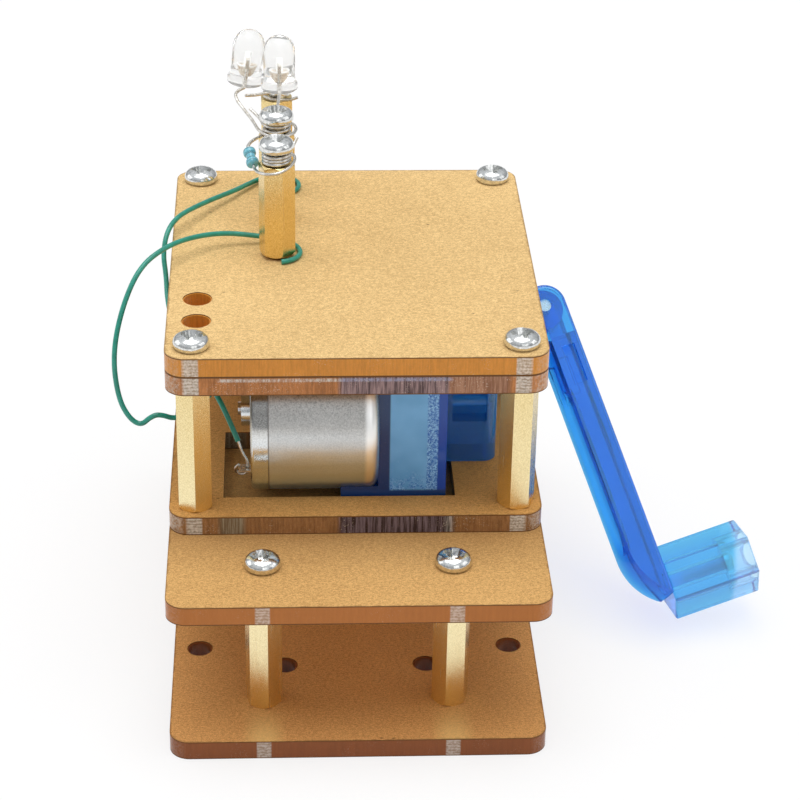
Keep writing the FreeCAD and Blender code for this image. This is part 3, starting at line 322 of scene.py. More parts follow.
def kraft_paper(name, color, outline, holes, brass_reflections=(), painted_shade=None):
    """Brown paper film: speckled fibres on its faces, scorched along its cut edges and holes.

    A brass reflection is a pale stretch, a painted reflection of a brass spacer, given by its middle in X and its
    ends in Y. Painted shade is the stretch in Y over which the film is painted darker under the frame, and how dark
    it is at its ends.
    """
    g = Graph(name)
    x, y = g.split(g.place())[:2]
    clouds = g.noise(30, 3.0, 0.6)
    fibres = g.noise(3300, 3.0, 0.75, g.stretch((0.60, 1.0, 1.0)))
    grain = g.noise(5400, 2.0, 0.9)
    tone = g.steps(g.blend((clouds, 0.12), (fibres, 0.38), (grain, 0.50)), 0.40, 0.60)
    paper = g.mix(tone, (color[0] * 0.70, color[1] * 0.63, color[2] * 0.54), shaded(color, 1.27))
    # Painted reflections of the brass spacers.
    for middle, start, end in brass_reflections:
        reflected_glow = g.both(g.steps(g.math("ABSOLUTE", g.math("SUBTRACT", x, middle)), *PAINTED_GLOW_HALF_WIDTH, 1.0, 0.0),
                      g.steps(y, start, end, 0.45, 0.0))
        paper = g.mix(reflected_glow, paper, (0.95, 0.66, 0.24))
    # Painted shade under the frame.
    if painted_shade:
        depth = g.both(g.steps(y, *painted_shade), g.steps(y, *PAINTED_SHADE_BACK, 1.0, 0.3))
        paper = g.mix(depth, paper, (0.22, 0.09, 0.03))
    flecks = g.both(g.steps(g.cells(380, g.stretch((0.6, 1.0, 1.0))), 0.03, 0.08, 0.75, 0.0),
                    g.steps(g.noise(240, 1.0), 0.53, 0.60))
    paper = g.mix(flecks, paper, (0.12, 0.05, 0.015))
    nearest = g.from_outline(*outline)
    for hole_x, hole_y, radius in holes:
        rim = g.from_outline((hole_x - radius, hole_x + radius), (hole_y - radius, hole_y + radius), radius)
        nearest = g.math("MINIMUM", nearest, rim)
    uneven = g.steps(g.noise(700, 2.0, 0.6), 0.35, 0.65, 0.00012, 0.00045)
    scorch = g.steps(g.math("DIVIDE", nearest, uneven), 0.3, 1.0, 0.55, 0.0)
    paper = g.mix(scorch, paper, (0.15, 0.06, 0.018))
    upright = g.math("ABSOLUTE", g.split(g.normal())[2])
    paper = g.mix(g.steps(upright, 0.35, 0.6, 0.85, 0.0), paper, (0.11, 0.04, 0.012))
    g.surface(Base_Color=paper, Roughness=g.steps(fibres, 0.3, 0.7, 0.72, 0.92), Specular_IOR_Level=0.2,
              Normal=g.bump(g.blend((fibres, 0.6), (grain, 0.4)), 0.5, 0.00005))
    return g.owner


def seen_screws(g, places, flat):
    """Share of a cut edge behind which one of the upright screws stands."""
    normal = g.normal()
    total = None
    for x, y in places:
        way = g.vector_math("MULTIPLY", g.vector_math("SUBTRACT", g.place(), (x, y, 0.0)), (1.0, 1.0, 0.0))
        across = g.split(g.vector_math("CROSS_PRODUCT", way, normal))[2]
        beside = g.steps(g.math("ABSOLUTE", across), *BAR_HALF_WIDTH, 1.0, 0.0)
        near = g.within(g.vector_math("DOT_PRODUCT", way, normal), *BAR_REACH, 0.0003)
        seen = g.both(beside, near)
        total = seen if total is None else g.math("MAXIMUM", total, seen)
    return g.both(total, flat)


def acrylic(name, color, behind, ridged, solid, painted_shade_zones=(), painted_glint=None):
    """Clear sheet between paper films: laser-cut edges that show the brown paper and the screws inside.

    Ridged says how strong the ridges are and solid how plainly the screws behind the edge show. A shaded stretch
    of the front edge in X has two tones of its own, painted shade and bright reflections of the parts behind the
    edge, and the bright line in it is a painted reflection.
    """
    g = Graph(name)
    place = g.split(g.place())
    x, z = place[0], place[2]
    n = g.split(g.normal())
    facing = g.math("MAXIMUM", g.math("ABSOLUTE", n[0]), g.math("ABSOLUTE", n[1]))
    flat = g.steps(facing, 0.985, 0.998)
    corner = g.both(g.steps(facing, 0.90, 0.99, 1.0, 0.0), g.steps(g.math("ABSOLUTE", n[2]), 0.2, 0.5, 1.0, 0.0))
    ridges = g.noise(2600, 3.0, 0.7, g.stretch((1.0, 1.0, 0.05)))
    short = g.noise(3400, 3.0, 0.8, g.stretch((1.0, 1.0, 0.30)))
    clouds = g.noise(110, 2.0, 0.5, g.stretch((1.0, 1.0, 0.4)))
    tone = g.steps(g.blend((ridges, 0.45), (short, 0.37), (clouds, 0.18)), 0.38, 0.62)
    edge = g.mix(tone, shaded(color, 1.0 - 0.50 * ridged), shaded(color, 1.0 + 0.50 * ridged))
    streaks = g.steps(ridges, 0.42, 0.60)
    # Painted shade and bright reflections of the parts behind the edge.
    for low, high, dark, light in painted_shade_zones:
        share = g.both(g.within(x, low, high, 0.0004), g.steps(n[1], -0.9, -0.7, 1.0, 0.0))
        edge = g.mix(share, edge, g.mix(streaks, dark, light))
    # Painted reflection: a bright line along the edge.
    if painted_glint:
        low, high, floor, roof = painted_glint
        line = g.both(g.within(x, low, high, 0.0003), g.within(z, floor, roof), g.steps(n[1], -0.9, -0.7, 1.0, 0.0),
                      g.steps(short, 0.40, 0.60, 0.15, 0.95))
        edge = g.mix(line, edge, g.mix(g.steps(x, *PAINTED_GLINT_TURN), (0.66, 0.60, 0.52), (0.34, 0.33, 0.44)))
    specks = g.both(g.steps(g.noise(4600, 2.0, 0.8), 0.60, 0.68),
                    g.steps(g.noise(260, 1.0), 0.50, 0.60, 0.15 * ridged, 1.0 * ridged))
    edge = g.mix(specks, edge, (0.78, 0.66, 0.50))
    frost = g.both(corner, g.steps(g.noise(2300, 3.0, 0.7), 0.40, 0.62, 0.05, 0.75), ridged,
                   g.steps(g.math("ABSOLUTE", x), *FROST_START))
    edge = g.mix(frost, edge, (0.66, 0.58, 0.48))
    thread = g.math("SINE", g.blend((g.noise(900), 9.0), (z, THREAD_WAVES)))
    silver = g.steps(g.blend((g.noise(3000, 2.0, 0.6), 1.0), (thread, 0.10)), 0.34, 0.66)
    bars = seen_screws(g, behind, flat)
    edge = g.mix(g.both(bars, solid), edge, g.mix(silver, (0.40, 0.34, 0.26), (0.80, 0.75, 0.66)))
    g.surface(Base_Color=edge, Roughness=g.steps(g.blend((specks, 0.5), (bars, 0.5)), 0.0, 1.0, 0.16, 0.36),
              IOR=1.49, Specular_IOR_Level=0.22, Normal=g.bump(g.blend((ridges, 0.6), (short, 0.4)), 0.4, 0.00006))
    return g.owner


# ---------------------------------------------------------------- metals

def brass():
    """Drawn hexagonal bar with a sparkling grain; a painted sheen makes the spacers paler than the posts."""
    g = Graph("brass")
    grain = g.noise(5200, 3.0, 0.85)
    drawn = g.noise(1500, 2.0, 0.6, g.stretch((1.0, 1.0, 0.05)))
    color = g.mix(g.steps(grain, 0.36, 0.64), (0.68, 0.49, 0.18), (0.95, 0.78, 0.42))
    # Painted sheen: paler brass lower down, on the spacers.
    color = g.mix(g.steps(g.split(g.place())[2], *PAINTED_SPACER_SHEEN, 0.50, 0.0), color, (1.0, 0.92, 0.62))
    g.surface(Base_Color=color, Metallic=1.0, Roughness=g.steps(drawn, 0.3, 0.7, 0.18, 0.28),
              Normal=g.bump(g.blend((drawn, 0.12), (grain, 0.88)), 0.5, 0.00004))
    return g.owner


def plated_steel():
    """Bright plated screws with small dents and wear."""
    g = Graph("plated_steel")
    dents = g.noise(750, 3.0, 0.5)
    smears = g.noise(2400, 3.0, 0.6)
    color = g.mix(g.steps(smears, 0.35, 0.7), (0.84, 0.84, 0.82), (0.58, 0.59, 0.58))
    g.surface(Base_Color=color, Metallic=1.0, Roughness=g.steps(smears, 0.3, 0.75, 0.10, 0.24),
              Normal=g.bump(dents, 0.45, 0.00014))
    return g.owner


def motor_steel(name, bright, dark, rough, shade):
    """Zinc-plated sheet, finely mottled; spots and painted shade toward its top, a bluish painted reflection at its
    foot.
    """
    g = Graph(name)
    place = g.split(g.place())
    x, z = place[0], place[2]
    mottle = g.noise(4600, 3.0, 0.85)
    clouds = g.noise(140, 3.0, 0.6)
    rubbed = g.noise(800, 2.0, 0.6, g.stretch((0.08, 1.0, 1.0)))
    color = g.mix(g.steps(g.blend((mottle, 0.85), (clouds, 0.15)), 0.38, 0.60), dark, bright)
    spots = g.both(g.steps(g.noise(3600, 2.0, 0.8), 0.50, 0.60), g.steps(z, *MOTOR_SPOTS, 0.10, 0.80))
    color = g.mix(spots, color, shaded(dark, 0.36))
    # Painted shade toward the top.
    color = g.mix(g.steps(z, *MOTOR_PAINTED_SHADE, 0.0, shade), color, (0.02, 0.02, 0.02))
    # Painted reflection: bluish toward the foot.
    color = g.mix(g.steps(z, *MOTOR_PAINTED_COOL, 0.90, 0.0), color, (0.68, 0.85, 1.00))
    color = g.mix(g.within(x, *MOTOR_RIM, 0.0003), color, (0.97, 0.97, 0.95))
    seam = g.within(x, *MOTOR_SEAM, 0.00004)
    color = g.mix(g.both(seam, 0.7), color, (0.12, 0.11, 0.10))
    g.surface(Base_Color=color, Metallic=1.0, Roughness=g.steps(rubbed, 0.3, 0.7, rough, rough + 0.12),
              Normal=g.bump(g.blend((mottle, 0.6), (rubbed, 0.4)), 0.45, 0.00004))
    return g.owner


def plain_metal(name, color, worn, rough):
    """Small bare metal piece with fine wear."""
    g = Graph(name)
    wear = g.noise(1500, 3.0, 0.6)
    g.surface(Base_Color=g.mix(g.steps(wear, 0.4, 0.75), color, worn), Metallic=1.0,
              Roughness=g.steps(wear, 0.3, 0.8, rough, rough + 0.15), Normal=g.bump(wear, 0.3, 0.00005))
    return g.owner


def pin_steel():
    """End of the hinge pin, seen through the blue plastic: a pale rim around a deeper middle."""
    g = Graph("pin_steel")
    low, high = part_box("fold_pin")
    size = high - low
    longest = max(range(3), key=lambda axis: size[axis])
    flat = [0.0 if axis == longest else 1.0 for axis in range(3)]
    way = g.vector_math("MULTIPLY", g.vector_math("SUBTRACT", g.place(), (low + high) / 2), flat)
    radius = sorted(size)[0] / 2
    rim = g.steps(g.vector_math("LENGTH", way), radius * 0.55, radius * 0.75)
    wear = g.noise(1500, 3.0, 0.6)
    color = g.mix(rim, (0.06, 0.25, 0.55), (0.55, 0.78, 0.92))
    g.surface(Base_Color=g.mix(g.steps(wear, 0.4, 0.8, 0.0, 0.5), color, (0.22, 0.42, 0.68)), Metallic=0.5,
              Roughness=g.steps(wear, 0.3, 0.8, 0.22, 0.38), Normal=g.bump(wear, 0.3, 0.00005))
    return g.owner


def plain_solid(name, color, shade, rough):
    """Small unglazed or moulded piece with a slight mottle."""
    g = Graph(name)
    mottle = g.noise(900, 3.0, 0.6)
    g.surface(Base_Color=g.mix(g.steps(mottle, 0.35, 0.7), color, shade),
              Roughness=g.steps(mottle, 0.3, 0.7, rough, rough + 0.12), Normal=g.bump(mottle, 0.25, 0.00004))
    return g.owner


def reflector():
    """Glittering tan plates inside a clear lens."""
    g = Graph("reflector")
    glitter = g.noise(3600, 3.0, 0.85)
    color = g.mix(g.steps(glitter, 0.40, 0.58), (0.50, 0.38, 0.25), (0.95, 0.90, 0.80))
    color = g.mix(g.steps(g.split(g.place())[2], *CUP_TOP), color, (0.93, 0.93, 0.92))
    g.surface(Base_Color=color, Metallic=0.4, Roughness=g.steps(glitter, 0.3, 0.7, 0.3, 0.5),
              Normal=g.bump(glitter, 0.6, 0.00008))
    return g.owner


# ---------------------------------------------------------------- plastics

def clear_blue(name, thin, depth, density, hollow_end_and_shade=False, lean=None):
    """Clear blue moulding, slightly cloudy, that deepens with its thickness.

    For the knob it is pale around its open end, with painted shade on its lower facets. A lean shades the arm's
    lower side as if it leaned that way.
    """
    g = Graph(name)
    ripples = g.noise(260, 2.0, 0.5)
    scuffs = g.noise(2600, 3.0, 0.7)
    cloud = g.noise(90, 2.0, 0.5)
    color = g.mix(g.steps(cloud, 0.35, 0.65), shaded(thin, 0.90), thin)
    if hollow_end_and_shade:
        # Painted shade on the knob's lower facets.
        color = g.mix(g.steps(g.split(g.own_normal())[2], -0.6, -0.3, 0.7, 0.0), color, shaded(thin, 0.45))
        color = g.mix(g.steps(g.split(g.place())[0], *KNOB_HOLLOW), color, (0.96, 0.98, 0.99))
    normal = g.bump(ripples, 0.15, 0.0003)
    if lean:
        side = g.both(g.steps(g.vector_math("DOT_PRODUCT", g.own_normal(), ARM_LOWER_SIDE), 0.30, 0.50),
                      g.math("SUBTRACT", 1.0, g.node("NewGeometry", {}).outputs["Backfacing"]))
        tilt = g.node("VectorTransform", {0: g.vector_math("MULTIPLY", lean, side)}, vector_type="VECTOR",
                      convert_from="OBJECT", convert_to="WORLD").outputs[0]
        normal = g.vector_math("NORMALIZE", g.vector_math("ADD", normal, tilt))
    shader = g.surface(Base_Color=color, Transmission_Weight=0.80, IOR=1.45, Specular_IOR_Level=0.14,
                       Roughness=g.steps(scuffs, 0.50, 0.75, 0.05, 0.16), Normal=normal)
    g.let_lamps_through(shader, (0.30, 0.62, 0.99))
    g.absorb(depth, density)
    return g.owner


def case_front():
    """Gear case front: a pale panel of painted light between dark walls, frosted on its right and lower sides."""
    g = Graph("case_front")
    place = g.split(g.place())
    x, z = place[0], place[2]
    scuffs = g.noise(2600, 3.0, 0.8)
    cloud = g.noise(150, 2.0, 0.5)
    # Painted light: the pale panel stands for light that shows through the clear case.
    panel = g.mix(g.steps(cloud, 0.35, 0.65), (0.12, 0.38, 0.72), (0.19, 0.50, 0.86))
    frosted = g.mix(g.steps(g.noise(4200, 3.0, 0.8), 0.44, 0.60), (0.02, 0.14, 0.55), (0.32, 0.65, 0.96))
    wavy = g.math("ADD", z, g.math("MULTIPLY", g.noise(420, 4.0, 0.7), 0.0060))
    low = g.both(g.steps(wavy, *CASE_FROST, 0.9, 0.0), g.steps(g.noise(1500, 3.0, 0.8), 0.42, 0.56))
    color = g.mix(low, panel, frosted)
    color = g.mix(g.steps(x, *CASE_STRIPE), color, frosted)
    color = g.mix(g.steps(x, *CASE_RIGHT_WALL), color, (0.008, 0.070, 0.42))
    color = g.mix(g.steps(x, *CASE_LEFT_WALL, 1.0, 0.0), color, (0.010, 0.042, 0.150))
    color = g.mix(g.steps(z, *CASE_FOOT, 1.0, 0.0), color, (0.012, 0.055, 0.20))
    g.surface(Base_Color=color, Roughness=g.steps(scuffs, 0.4, 0.7, 0.10, 0.30), Specular_IOR_Level=0.5,
              Normal=g.bump(scuffs, 0.15, 0.00006))
    return g.owner


def clear_epoxy():
    """Water-clear lens, faintly milky."""
    g = Graph("clear_epoxy")
    streaks = g.noise(500, 2.0, 0.5)
    color = g.mix(g.steps(streaks, 0.35, 0.65), (0.96, 0.96, 0.95), (0.99, 0.99, 0.98))
    shader = g.surface(Base_Color=color, Transmission_Weight=0.86, IOR=1.30,
                       Roughness=g.steps(streaks, 0.5, 0.8, 0.02, 0.06), Normal=g.bump(streaks, 0.1, 0.0002))
    g.let_lamps_through(shader, (0.97, 0.97, 0.97))
    return g.owner


def green_insulation():
    """Vinyl insulation with a soft gloss."""
    g = Graph("green_insulation")
    mottle = g.noise(700, 2.0, 0.5)
    g.surface(Base_Color=g.mix(g.steps(mottle, 0.35, 0.65), (0.008, 0.255, 0.180), (0.020, 0.330, 0.240)),
              Roughness=g.steps(mottle, 0.3, 0.7, 0.28, 0.40), Coat_Weight=0.3, Coat_Roughness=0.15,
              Normal=g.bump(mottle, 0.2, 0.00008))
    return g.owner


def resistor_lacquer():
    """Light blue lacquer with thin dark bands across the body."""
    g = Graph("resistor_lacquer")
    low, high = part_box("resistor_body")
    way = g.vector_math("SUBTRACT", g.place(), (low + high) / 2)
    along = g.math("ABSOLUTE", g.vector_math("DOT_PRODUCT", way, RESISTOR_DIRECTION.normalized()))
    bands = g.math("MAXIMUM", *[g.within(along, *band, RESISTOR_BAND_SOFT) for band in RESISTOR_BANDS])
    mottle = g.noise(1500, 2.0, 0.5)
    color = g.mix(g.steps(mottle, 0.35, 0.65), (0.13, 0.46, 0.58), (0.20, 0.56, 0.66))
    g.surface(Base_Color=g.mix(g.both(bands, 0.85), color, (0.04, 0.11, 0.13)), Roughness=0.22,
              Coat_Weight=0.5, Coat_Roughness=0.08, Normal=g.bump(mottle, 0.15, 0.00005))
    return g.owner


# ---------------------------------------------------------------- pieces

def dress(node, material):
    """Gives a carried-over node its material."""
    mesh = nodes[node].data
    mesh.materials.clear()
    mesh.materials.append(material)
    for face in mesh.polygons:
        face.material_index = 0


def dress_front(node, material, y):
    """Gives the faces of a node that look to the front, and lie in front of y, a material of their own."""
    mesh = nodes[node].data
    mesh.materials.append(material)
    for face in mesh.polygons:
        if face.normal.y < -0.99 and face.center.y < y:
            face.material_index = len(mesh.materials) - 1


def new_piece(name, mesh, material, body):
    """Adds a mesh piece that rides on a body."""
    piece = bpy.data.objects.new(name, mesh)
    scene.collection.objects.link(piece)
    mesh.materials.clear()
    mesh.materials.append(material)
    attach(piece, body)
    return piece


def turned(profile, segments=48):
    """Shape turned about Z from (radius, height) points; points on the axis close it."""
    shape = bmesh.new()
    rings = []
    for radius, height in profile:
        if radius == 0:
            rings.append([shape.verts.new((0.0, 0.0, height))])
            continue
        turns = [2 * math.pi * n / segments for n in range(segments)]
        rings.append([shape.verts.new((radius * math.cos(t), radius * math.sin(t), height)) for t in turns])
    for lower, upper in zip(rings, rings[1:]):
        for n in range(segments):
            corners = [lower[n % len(lower)], lower[(n + 1) % len(lower)],
                       upper[(n + 1) % len(upper)], upper[n % len(upper)]]
            face = shape.faces.new(list(dict.fromkeys(corners)))
            face.smooth = True
    bmesh.ops.recalc_face_normals(shape, faces=shape.faces)
    return shape


def block(size, centre, top_share=1.0):
    """Box around a centre whose top can be wider or narrower than its foot."""
    shape = bmesh.new()
    bmesh.ops.create_cube(shape, size=1.0)
    for vertex in shape.verts:
        share = top_share if vertex.co.z > 0 else 1.0
        vertex.co = Vector((vertex.co.x * size[0] * share, vertex.co.y * size[1] * share, vertex.co.z * size[2]))
        vertex.co += Vector(centre)
    return shape


def as_mesh(name, shape):
    """Mesh from a shape."""
    mesh = bpy.data.meshes.new(name)
    shape.to_mesh(mesh)
    shape.free()
    return mesh


def joined(name, meshes):
    """One mesh from several."""
    shape = bmesh.new()
    for mesh in meshes:
        shape.from_mesh(mesh)
    return as_mesh(name, shape)


def cut(mesh, tools):
    """Mesh with the tools' shapes taken out of it."""
    piece = bpy.data.objects.new("blank", mesh)
    scene.collection.objects.link(piece)
    for tool in tools:
        cutter = bpy.data.objects.new("cutter", as_mesh("cutter", tool))
        scene.collection.objects.link(cutter)
        step = piece.modifiers.new("cut", "BOOLEAN")
        step.operation = "DIFFERENCE"
        step.solver = "EXACT"
        step.object = cutter
    seen = piece.evaluated_get(bpy.context.evaluated_depsgraph_get())
    result = bpy.data.meshes.new_from_object(seen)
    for step in piece.modifiers:
        bpy.data.objects.remove(step.object)
    bpy.data.objects.remove(piece)
    return result


def screw_head():
    """Pan head with a cross recess; its foot stands on the origin."""
    head = as_mesh("head", turned([(radius / 1000, height / 1000) for radius, height in HEAD_PROFILE], 64))
    centre = (0, 0, HEAD_HEIGHT - RECESS_DEPTH / 2 + CUT_MARGIN)
    depth = RECESS_DEPTH + 2 * CUT_MARGIN
    length, width = RECESS_WING
    tools = [block((length, width, depth), centre, RECESS_WING_FLARE),
             block((width, length, depth), centre, RECESS_WING_FLARE),
             block((RECESS_CORE, RECESS_CORE, depth), centre, RECESS_CORE_FLARE)]
    return cut(head, tools)


def screw_places(node):
    """XY of the middle of each screw of a node: one, a pair in a row across, or one in each quarter of it."""
    low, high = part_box(node)
    one_screw = 0.01
    across = (low.x + high.x) / 2 if high.x - low.x > one_screw else high.x
    along = (low.y + high.y) / 2 if high.y - low.y > one_screw else high.y
    quarters = {}
    for vertex in nodes[node].data.vertices:
        quarters.setdefault((vertex.co.x > across, vertex.co.y > along), []).append(vertex.co)
    places = []
    for points in quarters.values():
        xs = [p.x for p in points]
        ys = [p.y for p in points]
        places.append(((min(xs) + max(xs)) / 2, (min(ys) + max(ys)) / 2))
    return places


def screws(name, node, turn, turn_by_x, head, material):
    """Screws with crisp pan heads in place of a node's plain ones, turned by degrees that grow with X."""
    low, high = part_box(node)
    foot = high.z - HEAD_HEIGHT
    chamfer = 0.0003
    meshes = []
    for x, y in screw_places(node):
        spin = Matrix.Rotation(math.radians(turn + turn_by_x * x * 1000), 4, "Z")
        top = head.copy()
        top.transform(Matrix.Translation((x, y, foot)) @ spin)
        shank = as_mesh("shank", turned([(0, low.z), (SCREW_RADIUS - chamfer, low.z), (SCREW_RADIUS, low.z + chamfer),
                                         (SCREW_RADIUS, foot + CUT_MARGIN), (0, foot + CUT_MARGIN)], 32))
        shank.transform(Matrix.Translation((x, y, 0.0)))
        meshes += [top, shank]
    mesh = joined(name, meshes)
    mesh.set_sharp_from_angle(angle=math.radians(SHARP_FROM))
    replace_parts(new_piece(name, mesh, material, "frame"), node)


def led_lens(name, node, tilt, material, cup_material):
    """Clear lens with flange, body and dome, and the reflector plates inside it."""
    bead = 0.00015
    dome_steps = 12
    dome_centre = LED_LENGTH - LED_RADIUS
    profile = [(0, 0), (LED_FLANGE_RADIUS - bead, 0), (LED_FLANGE_RADIUS, bead),
               (LED_FLANGE_RADIUS, LED_FLANGE_HEIGHT - bead), (LED_FLANGE_RADIUS - bead, LED_FLANGE_HEIGHT),
               (LED_RADIUS + bead / 2, LED_FLANGE_HEIGHT), (LED_RADIUS, LED_FLANGE_HEIGHT + bead)]
    for step in range(dome_steps):
        turn = math.pi / 2 * step / dome_steps
        profile.append((LED_RADIUS * math.cos(turn), dome_centre + LED_RADIUS * math.sin(turn)))
    profile.append((0, LED_LENGTH))
    mesh = as_mesh(name, turned(profile))
    cup = as_mesh(name + "_cup", turned(CUP_PROFILE, 32))
    low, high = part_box(node)
    lean = Matrix.Rotation(math.radians(tilt), 4, "Y")
    mesh.transform(lean)
    corner = min((vertex.co for vertex in mesh.vertices), key=lambda co: co.x).x
    floor = min(vertex.co.z for vertex in mesh.vertices)
    shift = Matrix.Translation((low.x - corner, (low.y + high.y) / 2, low.z - floor))
    mesh.transform(shift)
    cup.transform(shift @ lean)
    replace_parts(new_piece(name, mesh, material, "frame"), node)
    new_piece(name + "_cup", cup, cup_material, "frame")


def spline(name, route, radius, material, body):
    """Smooth round wire along a route."""
    curve = bpy.data.curves.new(name, "CURVE")
    curve.dimensions = "3D"
    curve.resolution_u = 8
    curve.bevel_depth = radius
    curve.bevel_resolution = 4
    curve.use_fill_caps = True
    line = curve.splines.new("NURBS")
    line.points.add(len(route) - 1)
    for point, place in zip(line.points, route):
        point.co = (*place, 1.0)
    line.order_u = 3
    line.use_endpoint_u = True
    curve.materials.append(material)
    piece = bpy.data.objects.new(name, curve)
    scene.collection.objects.link(piece)
    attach(piece, body)
    return piece


def wire(name, node, route, strand_route, green, tin):
    """Insulated wire with its bare ends."""
    insulation = spline(name, route, WIRE_DIAMETER / 2, green, "frame")
    strand = spline(name + "_strand", strand_route, STRAND_RADIUS, tin, "frame")
    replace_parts(insulation, node)


# ---------------------------------------------------------------- dressing

# Outlines of the sheets: X, Y and corner radius. Holes: X, Y and radius.
LONG_OUTLINE = ((-0.0278, 0.0278), (-0.0425, 0.0425), 0.003)
SHORT_OUTLINE = ((-0.0278, 0.0278), (-0.0231, 0.0425), 0.003)
BASE_HOLES = ((-0.02385, -0.0185, 0.00175), (0.02385, -0.0185, 0.00175),
              (-0.01075, -0.0232, 0.00175), (0.01075, -0.0232, 0.00175))
TOP_HOLES = ((-0.0234, -0.0041, 0.002), (-0.0234, -0.0112, 0.002))

# Paper films: colour, outline and holes; the colours are one paper, painted lighter or darker by the light that
# each film gets. Pale stretches in front of the spacers: painted reflections of the brass. Painted shade: under the
# frame.
FILMS = {
    "top": ((0.785, 0.545, 0.248), SHORT_OUTLINE, TOP_HOLES),
    "upper_frame": ((0.68, 0.41, 0.165), SHORT_OUTLINE, ()),
    "lower_frame": ((0.65, 0.345, 0.108), SHORT_OUTLINE, ()),
    "shelf": ((0.65, 0.385, 0.142), LONG_OUTLINE, ()),
    "base": ((0.66, 0.345, 0.120), LONG_OUTLINE, BASE_HOLES),
}
FILM_PAINTED_GLOWS = {"base": ((-0.0139, -0.0405, -0.0340), (0.0139, -0.0405, -0.0340))}
FILM_PAINTED_SHADES = {"shelf": (-0.0340, -0.0220, 0.0, 0.34)}

# Cut edges: colour, how ridged they are, how plainly the screws behind them show. The colours are one acrylic,
# painted lighter or darker by how much light reaches each sheet through its paper.
EDGES = {
    "top": ((0.66, 0.262, 0.042), 0.30, 0.78),
    "upper_frame": ((0.46, 0.180, 0.057), 0.70, 0.80),
    "lower_frame": ((0.33, 0.160, 0.062), 0.70, 0.85),
    "shelf": ((0.45, 0.155, 0.035), 0.12, 0.52),
    "base": ((0.26, 0.078, 0.022), 0.15, 0.55),
}

# Stretches of the front edges behind which the motor and the gear case lie, painted with their shade and bright
# reflections: ends in X, dark and light tone.
EDGE_PAINTED_SHADE_ZONES = {
    "upper_frame": ((-0.0026, 0.0134, (0.10, 0.060, 0.060), (0.36, 0.235, 0.225)),
                    (0.0134, 0.0220, (0.26, 0.115, 0.060), (0.44, 0.225, 0.130))),
    "lower_frame": ((-0.0203, -0.0166, (0.20, 0.14, 0.08), (0.36, 0.30, 0.20)),
                    (-0.0026, 0.0139, (0.045, 0.026, 0.026), (0.21, 0.155, 0.175)),
                    (0.0132, 0.0144, (0.10, 0.09, 0.08), (0.50, 0.44, 0.40))),
}

# Painted reflections: bright lines along the front edges, just below the sheet above: ends in X, ends in Z.
EDGE_PAINTED_GLINTS = {"upper_frame": (-0.0200, 0.0136, 0.0524, 0.0529)}

# Screws with crisp heads: piece, node, turn in degrees, and how it grows with each millimetre in X.
SCREW_SETS = (
    ("top_screw_set", "top_screws", 0.0, 23.0),
    ("shelf_screw_set", "shelf_screws", 0.0, 31.0),
    ("post_screw_front_set", "post_screw_front", 12.0, 0.0),
    ("post_screw_middle_set", "post_screw_middle", 52.0, 0.0),
    ("post_screw_rear_set", "post_screw_rear", 92.0, 0.0),
)


def dress_plates():
    """Materials of the sheets and of the paper films on them."""
    corners = screw_places("top_screws")
    base_corners = screw_places("base_screws")
    for name, (color, outline, holes) in FILMS.items():
        dress(name + "_film", kraft_paper(name + "_paper", color, outline, holes, FILM_PAINTED_GLOWS.get(name, ()),
                                           FILM_PAINTED_SHADES.get(name)))
    for name, (color, ridged, solid) in EDGES.items():
        behind = base_corners if name in ("shelf", "base") else corners
        dress(name + "_plate", acrylic(name + "_acrylic", color, behind, ridged, solid, EDGE_PAINTED_SHADE_ZONES.get(name, ()),
                                       EDGE_PAINTED_GLINTS.get(name)))


